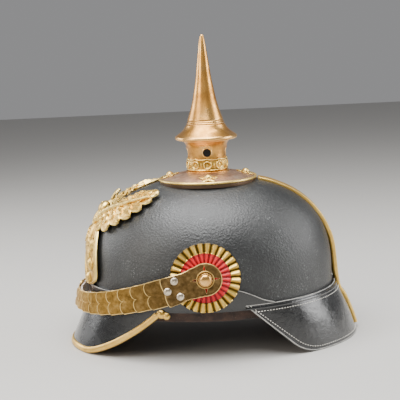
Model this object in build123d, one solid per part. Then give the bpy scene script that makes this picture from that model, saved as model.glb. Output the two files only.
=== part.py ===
from build123d import *
import math
import os

# A spiked leather parade helmet with a gilt eagle plate and chin scales.
# Frame: +Z up, the front is -X, the wearer's left is -Y. The origin lies below the spike, on the
# surface that the helmet stands on, and XZ is the plane of symmetry. Millimetres.

# General clearances
seat_gap = 0.05
fit_clearance = 0.05
soft_gap = 0.2
cut_overrun = 30.0

# Skull: an upright wall that turns into a dome
skull_half_length = 105.8
skull_half_width = 86.0
skull_rim_height = 42.3
dome_start_height = 57.0
dome_rise = 84.5
dome_exponent = 2.5
skull_wall = 3.0
crown_hole_radius = 14.0
crown_cap_radius = 12.0
dome_foot_height = 30.0
dome_steps = 10

# Leather of the visors
visor_leather = 2.4
lining_thickness = 0.8

# Front visor and its sewn flange on the skull
front_reach = 128.3
front_flare_width = 1.5
front_seam_height = 44.0
front_seam_overlap = 2.0
front_flat_angle = 27.0
front_end_angle = 68.0
front_edge_exponent = 1.77
flange_front_height = 55.0
flange_side_height = 61.8
flange_side_x = 8.0
flange_tail_x = 51.0
flange_tail_height = 46.2
flange_tail_shares = ((0.49, 0.39), (0.76, 0.78))

# Gilt channel round the front visor's edge
trim_height = 5.6
trim_side = 0.9
trim_lip = 1.1
trim_corner = 2.2
trim_end_angle = 64.5
trim_stations = 18
front_edge_steps = 7
trim_sink = 0.25
clip_radius = 3.5
clip_small_radius = 2.9
clip_pitch = 5.2
clip_stand = 0.6
clip_height = 41.2
clip_fall = 32.0

# Rear visor
rear_reach = 126.4
rear_flare_width = 1.5
rear_seam_height = 46.0
rear_start_x = 25.0
rear_corner_x = 74.0
rear_corner_radius = 34.0
rear_section_shares = ((1.0, 0.0), (0.652, 0.45), (0.348, 0.757), (0.0, 1.0))
lining_margin = 3.0

# Rear spine
spine_top_x = 43.6
spine_foot_height = 5.0
spine_rise = 2.6
spine_half_width = 6.5
spine_edge_radius = 1.9
spine_foot_sink_share = 0.3
spine_blend_exponent = 8
spine_turns = (0.0, 0.16, 0.32, 0.5, 0.7, 0.9, 1.1)
spine_stud_heights = (72.0, 118.0)

# Base, neck and gallery below the spike
base_radius = 43.0
base_rim_width = 2.4
base_rim_rise = 1.9
base_sheet = 0.9
base_centre_height = 146.4
base_edge_height = 140.4
base_rim_depth = 9.0
base_fall_exponent = 1.4
base_edge_slope = 0.45
base_stud_count = 4
neck_foot_height = 145.6
neck_foot_radius = 19.0
neck_foot_rise = 1.7
neck_radius = 16.4
neck_wall = 1.2
neck_flare_height = 160.5
neck_top_height = 174.2
neck_top_radius = 20.6
neck_top_land = 1.0
collar_radius = 13.6
collar_height = 168.0
vent_height = 164.0
vent_radius = 3.7
vent_count = 4
neck_flare_slope = 0.6
neck_fillet_share = 0.25
gallery_low = 148.0
gallery_high = 158.6
gallery_band = 1.0
gallery_bead = 0.8
gallery_ring_radius = 3.75
gallery_ring_wall = 1.1
gallery_ring_rise = 0.9
gallery_rings = 10
gallery_ring_height = 153.2
gallery_scallop_radius = 1.9
gallery_scallop_share = 0.45

# Star studs on the base
stud_circle_radius = 33.0
stud_star_radius = 8.4
stud_star_inner_radius = 4.6
stud_points = 5
stud_thickness = 1.6
stud_taper = 30
stud_dome_radius = 3.2
stud_shank_radius = 1.5

# Spike: radius and height of the hollow cone from the flange to the tip
spike_tip_height = 264.5
spike_flange_radius = 27.0
spike_flange_height = 177.2
spike_flange_edge = 2.0
spike_flange_gap = 0.1
spike_groove_height = 188.0
spike_groove_radius = 0.55
spike_groove_pitch = 1.5
spike_grooves = 3
spike_wall = 1.0
spike_tip_radius = 1.4
spike_solid_radius = 3.6
spike_shape_shares = (
    (0.963, 0.010), (0.767, 0.055), (0.652, 0.102), (0.593, 0.148), (0.489, 0.239), (0.387, 0.352),
    (0.315, 0.466), (0.248, 0.580), (0.202, 0.692), (0.152, 0.804), (0.102, 0.915),
)
stem_clearance = 0.1
stem_wall = 1.6
stem_depth = 6.4
stem_flange_radius = 17.0
stem_flange = 0.8
thread_pitch = 1.6
thread_turns = 4

# Eagle plate: how far each layer of the relief stands off the skull
plate_air = 2.5
plate_sheet_rise = 4.0
plate_tier_rise = 1.0
plate_body_rise = 7.6
plate_shield_rise = 8.6
plate_head_rise = 10.4
plate_crown_rise = 11.2
plate_stud_height = 110.0
plate_stud_y = 30.0
plate_front_x = -60.0
plate_foot_height = 52.5
plate_top_height = 110.6
plate_half_width = 38.0
plate_low_outline_shares = ((0.32, 0.02), (0.68, 0.055), (0.95, 0.14), (1.0, 0.27))
plate_high_outline_shares = ((0.95, 0.47), (0.82, 0.65), (0.68, 0.79), (0.5, 0.9))
plate_lobe_radius = 5.5
plate_lobe_shares = ((0.71, 0.37), (0.61, 0.65), (0.58, 0.145))
body_height = 94.0
body_half_width = 13.5
body_half_height = 21.0
tail_half_width = 14.0
tail_root_share = 1 / 3
tail_feathers = 5
tail_top = 82.0
tail_low = 54.5
shield_half_width = 6.5
shield_high = 103.0
shield_low = 88.0
head_aside = 1.5
head_height = 118.5
head_radius = 6.6
head_neck_share = 0.75
beak_length = 9.0
beak_top_share = 0.7
beak_tip_share = -0.2
beak_low_share = -0.5
crown_low = 126.0
crown_high = 137.5
crown_half_width = 8.0
crown_band_share = 0.7
crown_points = 5

# Wings: feather tips along a line in side view, the upper edge as a line in plan
wing_root_x = -97.5
wing_root_height = 98.5
wing_tip_x = -41.5
wing_tip_height = 131.0
wing_top_height = 142.0
wing_feathers = 9
wing_tiers = 3
wing_tier_step = 8.0
wing_scallop = 2.2
wing_inner = 8.0
wing_plan_tip_x = -40.0
wing_plan_tip_y = 35.0
wing_plan_neck_x = -73.0
wing_plan_neck_y = 11.0

# Side posts, cockades
post_x = -6.5
post_height = 71.5
post_plane = 94.0
post_shank_radius = 3.4
post_collar_radius = 7.0
post_collar_gap = 0.15
post_nut_radius = 6.5
post_nut_height = 1.6
knob_radius = 5.5
knob_height = 4.4
knob_dome_share = 0.6
knob_gap = 0.2
cockade_radius = 28.3
cockade_rim_inner = 20.6
cockade_depth = 2.6
cockade_back = 88.6
cockade_flutes = 28
flute_radius = 1.7
flute_lift_share = 0.45
disc_flute_share = 0.8
cockade_disc_gap = 0.2
cockade_disc_depth = 1.8
cockade_hole_radius = 3.6

# Chin scales: the path of each half and its links
strap_front = 118.0
strap_half_path_width = 95.0
strap_drop = 29.4
strap_drop_exponent = 1.17
strap_lean = 15.0
strap_mid_gap = 0.6
links_per_half = 10
strap_slope = 17.0
end_plate_joint = 34.5
end_plate_flat = 8.0
end_plate_turn = 5.2
end_leather_turn = 14.0
end_plate_round = 13.5
end_plate_half_width = 12.2
end_plate_waist = 11.3
end_plate_shoulder = 16.0
end_plate_lobe = 0.8
end_plate_thickness = 0.9
end_leather = 1.4
end_leather_margin = 1.0
end_sheet_overrun_share = 1.15
first_scale_half_width = 11.4
last_scale_half_width = 7.4
scale_thickness = 0.7
scale_rear_lift = 0.78
scale_front_lift = 2.4
scale_rear_lap = 0.3
scale_lobe = 2.4
scale_cusp = 0.3
scale_first_gap = 0.3
scale_shoulder = 0.8
scale_leather = 1.4
scale_leather_margin = 0.9
scale_leather_gap = 1.4
scale_lug_radius = 1.1
scale_lug_place = 4.2
scale_lug_tail = 0.4
rivet_radius = 3.2
rivet_rise = 1.5
rivet_place_shares = ((0.69, -0.58), (0.916, -0.057), (0.675, 0.525))
rivet_shank_radius = 1.0
star_hole_reach = 12.0
star_hole_width = 3.0
star_hole_turn = 14.0
swing_range = 60.0
uncurl_share = 1.2
first_link_extra = 8.0
hook_width = 6.0
hook_length = 5.0
hook_wire = 0.7

# Lining parts
sweatband_thickness = 1.8
sweatband_low = 33.3
sweatband_high = 66.0
liner_thickness = 1.0
liner_low = 60.0
nut_radius = 4.0
nut_height = 1.2
star_nut_drop = 0.8
liner_gap = 1.3
dome_nut_gap = 0.4


def dome_solid(grow, low=skull_rim_height):
    """Everything inside the skull's outer form grown all round by grow, above the height low."""
    half_length = skull_half_length + grow
    half_width = skull_half_width + grow
    rise = dome_rise + grow
    power = 2 / dome_exponent
    top_turn = math.acos((crown_cap_radius / skull_half_length) ** (1 / power))
    middle = (dome_foot_height + dome_start_height) / 2
    wall = Ellipse(half_length, half_width)
    sections = [Plane.XY.offset(height) * wall for height in (dome_foot_height, middle)]
    for step in range(dome_steps + 1):
        turn = top_turn * step / dome_steps
        width_share = math.cos(turn) ** power
        height = dome_start_height + rise * math.sin(turn) ** power
        ring = Ellipse(half_length * width_share, half_width * width_share)
        sections.append(Plane.XY.offset(height) * ring)
    body = loft(sections)
    return body if low <= dome_foot_height else body & slab(low, dome_start_height + 2 * dome_rise)


def dome_height(x, y, grow=0):
    """Height of the grown skull form over a place in plan."""
    half_length = skull_half_length + grow
    half_width = skull_half_width + grow
    reach = math.hypot(x / half_length, y / half_width)
    return dome_start_height + (dome_rise + grow) * (1 - reach ** dome_exponent) ** (1 / dome_exponent)


def dome_normal(x, y, z):
    """Outward normal of the skull form at a point of its dome."""
    reach = math.hypot(x / skull_half_length, y / skull_half_width)
    side = reach ** (dome_exponent - 2)
    up = ((z - dome_start_height) / dome_rise) ** (dome_exponent - 1) / dome_rise
    return Vector(side * x / skull_half_length**2, side * y / skull_half_width**2, up).normalized()


def side_prism(face):
    """A side-view face in XZ, extruded across the whole helmet."""
    return extrude(face, amount=skull_half_width + cut_overrun, dir=(0, 1, 0), both=True)


def slab(low, high):
    """A block between two heights that is wider than the helmet."""
    width = 2 * (front_reach + cut_overrun)
    block = Box(width, width, high - low, align=(Align.CENTER, Align.CENTER, Align.MIN))
    return Pos(0, 0, low) * block


def skull():
    shell = dome_solid(0) - dome_solid(-skull_wall, dome_foot_height)
    hole = Cylinder(crown_hole_radius, cut_overrun, align=(Align.CENTER, Align.CENTER, Align.CENTER))
    shell -= Pos(0, 0, dome_start_height + dome_rise) * hole
    for side in (-1, 1):
        shell -= post_axis(side) * Cylinder(
            post_shank_radius + fit_clearance, cut_overrun, align=(Align.CENTER, Align.CENTER, Align.CENTER)
        )
    for place in stud_frames():
        shell -= place * Cylinder(stud_shank_radius + fit_clearance, cut_overrun)
    for place in spine_stud_frames() + plate_stud_frames():
        shell -= place * Cylinder(stud_shank_radius + fit_clearance, cut_overrun)
    return shell


def front_half_length(height):
    """Half-length of the front visor's outer form at a height."""
    top = skull_half_length + visor_leather
    return top + (front_reach - top) * (1 - height / front_seam_height)


def front_half_width(height):
    top = skull_half_width + visor_leather
    return top + front_flare_width * (1 - height / front_seam_height)


def front_edge_height(angle):
    """Height of the front visor's lower edge, by the angle in plan from the front, in degrees."""
    share = max(0, (abs(angle) - front_flat_angle) / (front_end_angle - front_flat_angle))
    return front_seam_height * share**front_edge_exponent


def front_flare(grow):
    """The front visor's outer form as one solid cone, grown by grow."""
    top = front_seam_height + front_seam_overlap
    low = Plane.XY * Ellipse(front_half_length(0) + grow, front_half_width(0) + grow)
    high = Plane.XY.offset(top) * Ellipse(front_half_length(top) + grow, front_half_width(top) + grow)
    return loft([low, high], ruled=True)


def front_edge_points(lift):
    """Side-view points of the lower edge, from the flat front back to the rim, raised by lift."""
    step = (front_end_angle - front_flat_angle) / front_edge_steps
    angles = [front_flat_angle + step * index for index in range(front_edge_steps + 1)]
    heights = [front_edge_height(angle) for angle in angles]
    return [
        (-front_half_length(height) * math.cos(math.radians(angle)), height + lift)
        for angle, height in zip(angles, heights)
    ]


def front_side_face(lift):
    """Side view of the visor proper: in front of the edge curve, up to the top of its cone."""
    points = front_edge_points(lift)
    top = front_seam_height + front_seam_overlap
    far = -front_reach - cut_overrun
    with BuildSketch(Plane.XZ) as face:
        with BuildLine():
            Line((far, lift), points[0])
            curve = Spline(*points, tangents=[(1, 0), (1, 1)])
            Polyline(curve @ 1, (points[-1][0], top), (far, top), (far, lift))
        make_face()
    return face.sketch


def flange_face():
    """Side view of the sewn flange: high at the side, tapering to a tail behind the post."""
    far = -skull_half_length - cut_overrun
    run = flange_tail_x - flange_side_x
    fall = flange_side_height - flange_tail_height
    tail = [
        (flange_side_x + run * along, flange_side_height - fall * down)
        for along, down in flange_tail_shares
    ]
    with BuildSketch(Plane.XZ) as face:
        with BuildLine():
            Line((far, flange_front_height), (-skull_half_length, flange_front_height))
            Spline(
                (-skull_half_length, flange_front_height),
                (flange_side_x, flange_side_height),
                *tail,
                (flange_tail_x, flange_tail_height),
                tangents=[(1, 0), (2, -1)],
            )
            Polyline(
                (flange_tail_x, flange_tail_height),
                (flange_tail_x, skull_rim_height),
                (far, skull_rim_height),
                (far, flange_front_height),
            )
        make_face()
    return face.sketch


def front_visor():
    shell = front_flare(0) - front_flare(-visor_leather)
    shell &= side_prism(front_side_face(trim_lip))
    flange = dome_solid(visor_leather, skull_rim_height) & side_prism(flange_face())
    return shell + flange - dome_solid(seat_gap, skull_rim_height - seat_gap)


def front_visor_lining():
    outer = -visor_leather - seat_gap
    sheet = front_flare(outer) - front_flare(outer - lining_thickness)
    sheet &= side_prism(front_side_face(trim_lip))
    return sheet & slab(0, skull_rim_height - soft_gap)


def front_edge_point(angle, grow, lift):
    """A point on the front visor's grown form, above its lower edge by lift."""
    height = front_edge_height(angle) + lift
    turn = math.radians(angle)
    x = -(front_half_length(height) + grow) * math.cos(turn)
    y = -(front_half_width(height) + grow) * math.sin(turn)
    return Vector(x, y, height)


def trim_plane(angle):
    """Section plane of the channel: x out of the visor, z along the edge."""
    middle = -(visor_leather + lining_thickness) / 2
    lift = trim_height / 2 - trim_sink
    small = trim_end_angle / trim_stations**2
    here = front_edge_point(angle, middle, lift)
    ahead = front_edge_point(angle + small, middle, lift)
    behind = front_edge_point(angle - small, middle, lift)
    along = (ahead - behind).normalized()
    up = (front_edge_point(angle, middle, lift + trim_height) - here).normalized()
    outward = along.cross(up).normalized()
    return Plane(here, x_dir=outward, z_dir=along)


def front_visor_trim():
    width = visor_leather + lining_thickness + 2 * trim_side
    sections = []
    for index in range(trim_stations + 1):
        angle = -trim_end_angle + 2 * trim_end_angle * index / trim_stations
        sections.append(trim_plane(angle) * RectangleRounded(width, trim_height, trim_corner))
    channel = loft(sections)
    channel -= slab(-cut_overrun, 0)
    core = front_flare(seat_gap) - front_flare(-visor_leather - lining_thickness - 2 * seat_gap)
    core &= side_prism(front_side_face(trim_lip - seat_gap))
    return channel - core


def trim_end_clips():
    """Two-lobed clips on the leather behind the channel's ends, flat where they lie on it."""
    half_length = skull_half_length + visor_leather
    half_width = skull_half_width + visor_leather
    turn = math.radians(trim_end_angle) + clip_radius / half_length
    clips = []
    for side in (-1, 1):
        here = Vector(-half_length * math.cos(turn), side * half_width * math.sin(turn), clip_height)
        along = Vector(half_length * math.sin(turn), side * half_width * math.cos(turn), -clip_fall)
        back = along.normalized()
        out = Vector(-math.cos(turn) / half_length, side * math.sin(turn) / half_width, 0)
        frame = Plane(here, x_dir=back, z_dir=out - back * out.dot(back)).location
        balls = Pos(0, 0, clip_stand) * Sphere(clip_radius)
        balls += Pos(clip_pitch, 0, clip_stand) * Sphere(clip_small_radius)
        size = 2 * (clip_pitch + 2 * clip_radius)
        below = Pos(0, 0, clip_stand) * Box(size, size, size, align=(Align.CENTER, Align.CENTER, Align.MAX))
        clips.append(frame * (balls - below))
    return clips


def rear_flare(grow):
    """The rear visor's outer form: ellipses that widen in a bulging line, grown by grow."""
    top_length = skull_half_length + visor_leather
    top_width = skull_half_width + visor_leather
    sections = []
    for height_share, reach_share in rear_section_shares:
        half_length = top_length + (rear_reach - top_length) * reach_share + grow
        half_width = top_width + rear_flare_width * reach_share + grow
        sections.append(Plane.XY.offset(rear_seam_height * height_share) * Ellipse(half_length, half_width))
    return loft(sections)


def rear_side_face(lift):
    """Side view of the rear visor: a slanted front edge, a rounded corner and a flat foot."""
    far = rear_reach + cut_overrun
    corner = (rear_corner_x + lift, lift)
    outline = FilletPolyline(
        (rear_start_x + lift, rear_seam_height), corner, (far, lift), radius=rear_corner_radius
    )
    ends = (rear_start_x + lift, rear_seam_height + cut_overrun)
    closing = Polyline((far, lift), (far, ends[1]), ends, (ends[0], rear_seam_height))
    return Plane.XZ * make_face(Curve() + [outline, closing])


def rear_visor():
    shell = rear_flare(0) - rear_flare(-visor_leather)
    shell &= side_prism(rear_side_face(0))
    shell -= dome_solid(seat_gap, skull_rim_height - seat_gap)
    shell -= dome_solid(visor_leather + seat_gap, skull_rim_height - seat_gap) & side_prism(flange_face())
    return shell & slab(0, rear_seam_height)


def rear_visor_lining():
    outer = -visor_leather - seat_gap
    sheet = rear_flare(outer) - rear_flare(outer - lining_thickness)
    sheet &= side_prism(rear_side_face(lining_margin))
    return sheet & slab(0, skull_rim_height - soft_gap)


def rear_profile(grow):
    """Side-view points up the rear line from the visor's foot to the base, grown by grow."""
    points = []
    top_length = skull_half_length + visor_leather
    for height_share, reach_share in reversed(rear_section_shares[:-1]):
        reach = top_length + (rear_reach - top_length) * reach_share
        points.append((reach + grow, rear_seam_height * height_share))
    points.pop()
    points.insert(0, (rear_reach - spine_rise * spine_foot_sink_share + grow, spine_foot_height))
    power = 2 / dome_exponent
    for turn in spine_turns:
        seam = visor_leather * math.cos(turn) ** spine_blend_exponent
        x = (skull_half_length + seam + grow) * math.cos(turn) ** power
        z = dome_start_height + (dome_rise + grow) * math.sin(turn) ** power
        if x > spine_top_x:
            points.append((x, z))
    points.append((spine_top_x, dome_height(spine_top_x, 0, grow)))
    return points


def rear_spine():
    inner = rear_profile(-skull_wall / 2)
    outer = rear_profile(spine_rise)
    with BuildSketch(Plane.XZ) as face:
        with BuildLine():
            Spline(*inner)
            Line(inner[-1], outer[-1])
            Spline(*reversed(outer))
            Line(outer[0], inner[0])
        make_face()
    bar = extrude(face.sketch, amount=spine_half_width, dir=(0, 1, 0), both=True)
    long_edges = [
        edge
        for edge in bar.edges()
        if abs(abs(edge.center().Y) - spine_half_width) < seat_gap and edge.length > base_radius
    ]
    outer_edges = sorted(long_edges, key=lambda edge: edge.length)[-2:]
    bar = fillet(outer_edges, spine_edge_radius)
    bar -= dome_solid(seat_gap, skull_rim_height)
    bar -= rear_flare(seat_gap)
    bar = largest(bar)
    for place in spine_stud_frames():
        reach = spine_rise / 2 + skull_wall + soft_gap + nut_height
        shank = Cylinder(stud_shank_radius, reach, align=(Align.CENTER, Align.CENTER, Align.MAX))
        bar += place * Pos(0, 0, spine_rise / 2) * shank
    return bar


def largest(shape):
    """The biggest solid of a shape, when a cut leaves slivers beside it."""
    return sorted(shape.solids(), key=lambda solid: solid.volume)[-1]


def surface_frame(x, y, z):
    """Frame on the skull's outer face, its z axis along the outward normal."""
    normal = dome_normal(x, y, z)
    return Plane(Vector(x, y, z), z_dir=normal).location


def spine_stud_frames():
    frames = []
    for height in spine_stud_heights:
        share = ((height - dome_start_height) / dome_rise) ** dome_exponent
        x = skull_half_length * (1 - share) ** (1 / dome_exponent)
        frames.append(surface_frame(x, 0, height))
    return frames


def plate_stud_frames():
    frames = []
    for side in (-1, 1):
        share = ((plate_stud_height - dome_start_height) / dome_rise) ** dome_exponent
        reach = (1 - share) ** (1 / dome_exponent)
        y = side * plate_stud_y
        x = -skull_half_length * math.sqrt(reach**2 - (plate_stud_y / skull_half_width) ** 2)
        frames.append(surface_frame(x, y, plate_stud_height))
    return frames


def base_height(radius):
    """Top of the base's sheet over a radius: an arc through its centre and edge heights."""
    fall = base_centre_height - base_edge_height
    share = (radius - neck_foot_radius) / (base_radius - neck_foot_radius)
    return base_centre_height - fall * share**base_fall_exponent


def spike_base():
    hole = neck_radius - neck_wall
    middle = (neck_foot_radius + base_radius) / 2
    lip = base_radius - base_rim_width / 2
    with BuildSketch(Plane.XZ) as sheet:
        with BuildLine():
            Line((hole, base_centre_height), (neck_foot_radius, base_centre_height))
            upper = Spline(
                (neck_foot_radius, base_centre_height),
                (middle, base_height(middle)),
                (lip, base_height(lip)),
                tangents=[(1, 0), (1, -base_edge_slope)],
            )
            Polyline(
                upper @ 1,
                (lip, base_height(lip) - base_rim_depth),
                (lip - base_sheet, base_height(lip) - base_rim_depth),
                (lip - base_sheet, base_height(lip) - base_sheet),
            )
            Spline(
                (lip - base_sheet, base_height(lip) - base_sheet),
                (middle, base_height(middle) - base_sheet),
                (neck_foot_radius, base_centre_height - base_sheet),
                tangents=[(-1, base_edge_slope), (-1, 0)],
            )
            Polyline(
                (neck_foot_radius, base_centre_height - base_sheet),
                (hole, base_centre_height - base_sheet),
                (hole, base_centre_height),
            )
        make_face()
    body = revolve(sheet.sketch, Axis.Z)
    ring = Cylinder(base_radius, cut_overrun) - Cylinder(base_radius - base_rim_width, cut_overrun)
    rim = dome_solid(base_rim_rise, skull_rim_height) & Pos(0, 0, base_edge_height) * ring
    body += rim
    body -= dome_solid(seat_gap, skull_rim_height)
    for place in stud_frames():
        body -= place * Cylinder(stud_shank_radius + fit_clearance, cut_overrun)
    return body


def stud_frames():
    """Frames of the four star studs on the base's sheet, z along its slope's normal."""
    frames = []
    step = neck_wall
    slope = (base_height(stud_circle_radius) - base_height(stud_circle_radius + step)) / step
    for index in range(base_stud_count):
        turn = 2 * math.pi * index / base_stud_count
        out = Vector(math.cos(turn), math.sin(turn), 0)
        origin = out * stud_circle_radius + Vector(0, 0, base_height(stud_circle_radius))
        normal = (out * slope + Vector(0, 0, 1)).normalized()
        across = Vector(0, 0, 1).cross(out)
        frames.append(Plane(origin, x_dir=across, z_dir=normal).location)
    return frames


def star_face(points, outer, inner):
    vertices = []
    for index in range(2 * points):
        radius = outer if index % 2 == 0 else inner
        turn = math.pi * index / points + math.pi / 2
        vertices.append((radius * math.cos(turn), radius * math.sin(turn)))
    return make_face(Polyline(*vertices, close=True))


def base_star_studs():
    studs = []
    for place in stud_frames():
        outline = star_face(stud_points, stud_star_radius, stud_star_inner_radius)
        star = extrude(outline, stud_thickness, taper=stud_taper)
        button = Pos(0, 0, stud_thickness / 2) * Sphere(stud_dome_radius)
        button &= Pos(0, 0, stud_dome_radius) * Box(*(3 * [2 * stud_dome_radius]))
        seat = stud_reach()
        shank = Cylinder(stud_shank_radius, seat, align=(Align.CENTER, Align.CENTER, Align.MAX))
        studs.append(place * Pos(0, 0, soft_gap) * (star + button + shank))
    return studs


def stud_reach():
    """Length of a star stud's shank, from the base's sheet to the inner end of its nut."""
    height = base_height(stud_circle_radius) - dome_height(0, stud_circle_radius)
    return height + skull_wall + star_nut_drop + nut_height


def nut_on(frame, depth):
    """A flat round nut inside the skull wall, in a frame on a stud's axis."""
    nut = Cylinder(nut_radius, nut_height) - Cylinder(stud_shank_radius + fit_clearance, cut_overrun)
    return frame * Pos(0, 0, -depth - nut_height / 2) * nut


def inner_nuts():
    nuts = []
    for place in stud_frames():
        origin = place.position
        drop = base_height(stud_circle_radius) - dome_height(origin.X, origin.Y)
        nuts.append(nut_on(place, drop + skull_wall + star_nut_drop))
    for place in spine_stud_frames() + plate_stud_frames():
        nuts.append(nut_on(place, skull_wall + dome_nut_gap))
    return nuts


def spike_neck():
    bore = neck_radius - neck_wall
    foot_top = neck_foot_height + neck_foot_rise
    with BuildSketch(Plane.XZ) as wall:
        with BuildLine():
            Polyline(
                (bore, base_centre_height + seat_gap),
                (neck_foot_radius, base_centre_height + seat_gap),
                (neck_foot_radius, foot_top),
                (neck_radius, foot_top + neck_wall * neck_fillet_share),
                (neck_radius, neck_flare_height),
            )
            Spline(
                (neck_radius, neck_flare_height),
                (neck_top_radius, neck_top_height - neck_top_land),
                tangents=[(0, 1), (1, neck_flare_slope)],
            )
            Polyline(
                (neck_top_radius, neck_top_height - neck_top_land),
                (neck_top_radius, neck_top_height),
                (collar_radius, neck_top_height),
                (collar_radius, collar_height),
                (bore, collar_height),
                (bore, base_centre_height + seat_gap),
            )
        make_face()
    neck = revolve(wall.sketch, Axis.Z)
    for index in range(vent_count):
        drill = Rot(0, 0, 360 * index / vent_count) * Rot(0, 90, 0) * Cylinder(
            vent_radius, 2 * neck_radius, align=(Align.CENTER, Align.CENTER, Align.MIN)
        )
        neck -= Pos(0, 0, vent_height) * drill
    return neck


def ring_body(inner, outer, low, high):
    body = Cylinder(outer, high - low) - Cylinder(inner, high - low)
    return Pos(0, 0, (low + high) / 2) * body


def neck_gallery():
    inner = neck_radius + seat_gap
    outer = inner + gallery_band
    band = ring_body(inner, outer, gallery_low, gallery_high)
    for height in (gallery_low + gallery_bead, gallery_high - gallery_bead):
        band += Pos(0, 0, height) * Torus(outer, gallery_bead)
    reach = outer + gallery_ring_rise
    for index in range(gallery_rings):
        turn = Rot(0, 0, (index + 0.5) * 360 / gallery_rings)
        place = turn * Pos(0, 0, gallery_ring_height) * Rot(0, 90, 0)
        tube = Cylinder(gallery_ring_radius, reach, align=(Align.CENTER, Align.CENTER, Align.MIN))
        tube -= Cylinder(
            gallery_ring_radius - gallery_ring_wall, reach, align=(Align.CENTER, Align.CENTER, Align.MIN)
        )
        band += place * tube & ring_body(inner, reach, gallery_low, gallery_high)
    band -= ring_body(0, inner, gallery_low - cut_overrun, gallery_high + cut_overrun)
    for index in range(gallery_rings):
        turn = Rot(0, 0, index * 360 / gallery_rings)
        notch = Rot(0, 90, 0) * Cylinder(
            gallery_scallop_radius, 2 * outer, align=(Align.CENTER, Align.CENTER, Align.MIN)
        )
        lift = gallery_scallop_radius * gallery_scallop_share
        band -= Pos(0, 0, gallery_high + lift) * turn * notch
    return band


def spike_height(share):
    return spike_flange_height + (spike_tip_height - spike_flange_height) * share


def spike():
    under = neck_top_height + spike_flange_gap
    outer = [(spike_flange_radius * radius, spike_height(share)) for radius, share in spike_shape_shares]
    tip_base = (spike_tip_radius, spike_tip_height - spike_tip_radius)
    tip_side = (tip_base[0] * math.cos(math.pi / 4), tip_base[1] + spike_tip_radius * math.sin(math.pi / 4))
    inner = [
        (radius - spike_wall, height - spike_wall)
        for radius, height in outer
        if radius > spike_solid_radius
    ]
    with BuildSketch(Plane.XZ) as wall:
        with BuildLine():
            Polyline(
                (0, under),
                (spike_flange_radius - spike_flange_edge, under),
                (spike_flange_radius, under + spike_flange_edge / 2),
                (spike_flange_radius, spike_flange_height),
                outer[0],
            )
            Spline(*outer, tip_base)
            ThreePointArc(tip_base, tip_side, (0, spike_tip_height))
            Line((0, spike_tip_height), (0, under))
        make_face()
    with BuildSketch(Plane.XZ) as hollow:
        with BuildLine():
            floor = under + spike_wall
            Polyline((0, inner[-1][1]), (0, floor), (inner[1][0], floor), inner[1])
            Spline(*inner[1:])
            Line(inner[-1], (0, inner[-1][1]))
        make_face()
    body = revolve(wall.sketch, Axis.Z) - revolve(hollow.sketch, Axis.Z)
    body += Pos(0, 0, spike_flange_height - spike_groove_radius) * Torus(
        spike_flange_radius - spike_flange_edge / 2, spike_flange_edge / 2
    )
    for index in range(spike_grooves):
        height = spike_groove_height + index * spike_groove_pitch
        share = (height - spike_flange_height) / (spike_tip_height - spike_flange_height)
        radius = spike_radius_at(share)
        body -= Pos(0, 0, height) * Torus(radius + spike_groove_radius / 4, spike_groove_radius)
    seat = Cylinder(stem_flange_radius + stem_clearance, 2 * (stem_flange + stem_clearance))
    return body - Pos(0, 0, under) * seat


def spike_radius_at(share):
    """Radius of the spike between two rows of its shape shares."""
    rows = spike_shape_shares
    for low, high in zip(rows, rows[1:]):
        if low[1] <= share <= high[1]:
            mix = (share - low[1]) / (high[1] - low[1])
            return spike_flange_radius * (low[0] + (high[0] - low[0]) * mix)
    return spike_tip_radius


def spike_stem():
    """The threaded spigot below the spike: a tube with a flange let into the spike's floor."""
    top = neck_top_height + spike_flange_gap
    radius = collar_radius - stem_clearance
    tube = Cylinder(radius, stem_depth) - Cylinder(radius - stem_wall, stem_depth)
    disc = Cylinder(stem_flange_radius, stem_flange) - Cylinder(radius - stem_wall, stem_flange)
    tube = Pos(0, 0, top - stem_depth / 2) * tube
    return tube + Pos(0, 0, top + stem_flange / 2) * disc


def post_axis(side):
    """Frame at a side post, its z axis pointing out of the helmet."""
    origin = Vector(post_x, side * post_plane, post_height)
    return Plane(origin, x_dir=(-1, 0, 0), z_dir=(0, side, 0)).location


def feather_curve(shift, count):
    """Lower edge of a tier of feathers in side view: one scallop a feather, moved up by shift."""
    along_x = (wing_tip_x - wing_root_x) / count
    along_z = (wing_tip_height - wing_root_height) / count
    length = math.hypot(along_x, along_z)
    down = (along_z / length * wing_scallop, -along_x / length * wing_scallop)
    up = (-along_z / length * shift, along_x / length * shift)
    arcs = []
    for index in range(count):
        start = (wing_root_x + along_x * index + up[0], wing_root_height + along_z * index + up[1])
        end = (start[0] + along_x, start[1] + along_z)
        middle = ((start[0] + end[0]) / 2 + down[0], (start[1] + end[1]) / 2 + down[1])
        arcs.append(ThreePointArc(start, middle, end))
    return arcs


def wing_prism(shift, count):
    """Side view of one feather tier, extruded across the helmet."""
    arcs = feather_curve(shift, count)
    first = arcs[0] @ 0
    last = arcs[-1] @ 1
    far = -skull_half_length - cut_overrun
    closing = Polyline(
        last, (wing_tip_x, wing_top_height), (far, wing_top_height), (far, first.Y), first
    )
    face = make_face(Curve() + arcs + [closing])
    return side_prism(Plane.XZ * face)


def wing_plan():
    """Plan of the left wing: outside the line from the neck to the wing's tip."""
    far_x = -skull_half_length - cut_overrun
    far_y = -skull_half_width
    outline = Polyline(
        (wing_plan_tip_x, -wing_plan_tip_y),
        (wing_plan_neck_x, -wing_plan_neck_y),
        (wing_plan_neck_x - wing_inner, -wing_inner),
        (far_x, -wing_inner),
        (far_x, far_y),
        (wing_plan_tip_x, far_y),
        close=True,
    )
    return extrude(Plane.XY * make_face(outline), amount=wing_top_height, dir=(0, 0, 1))


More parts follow.
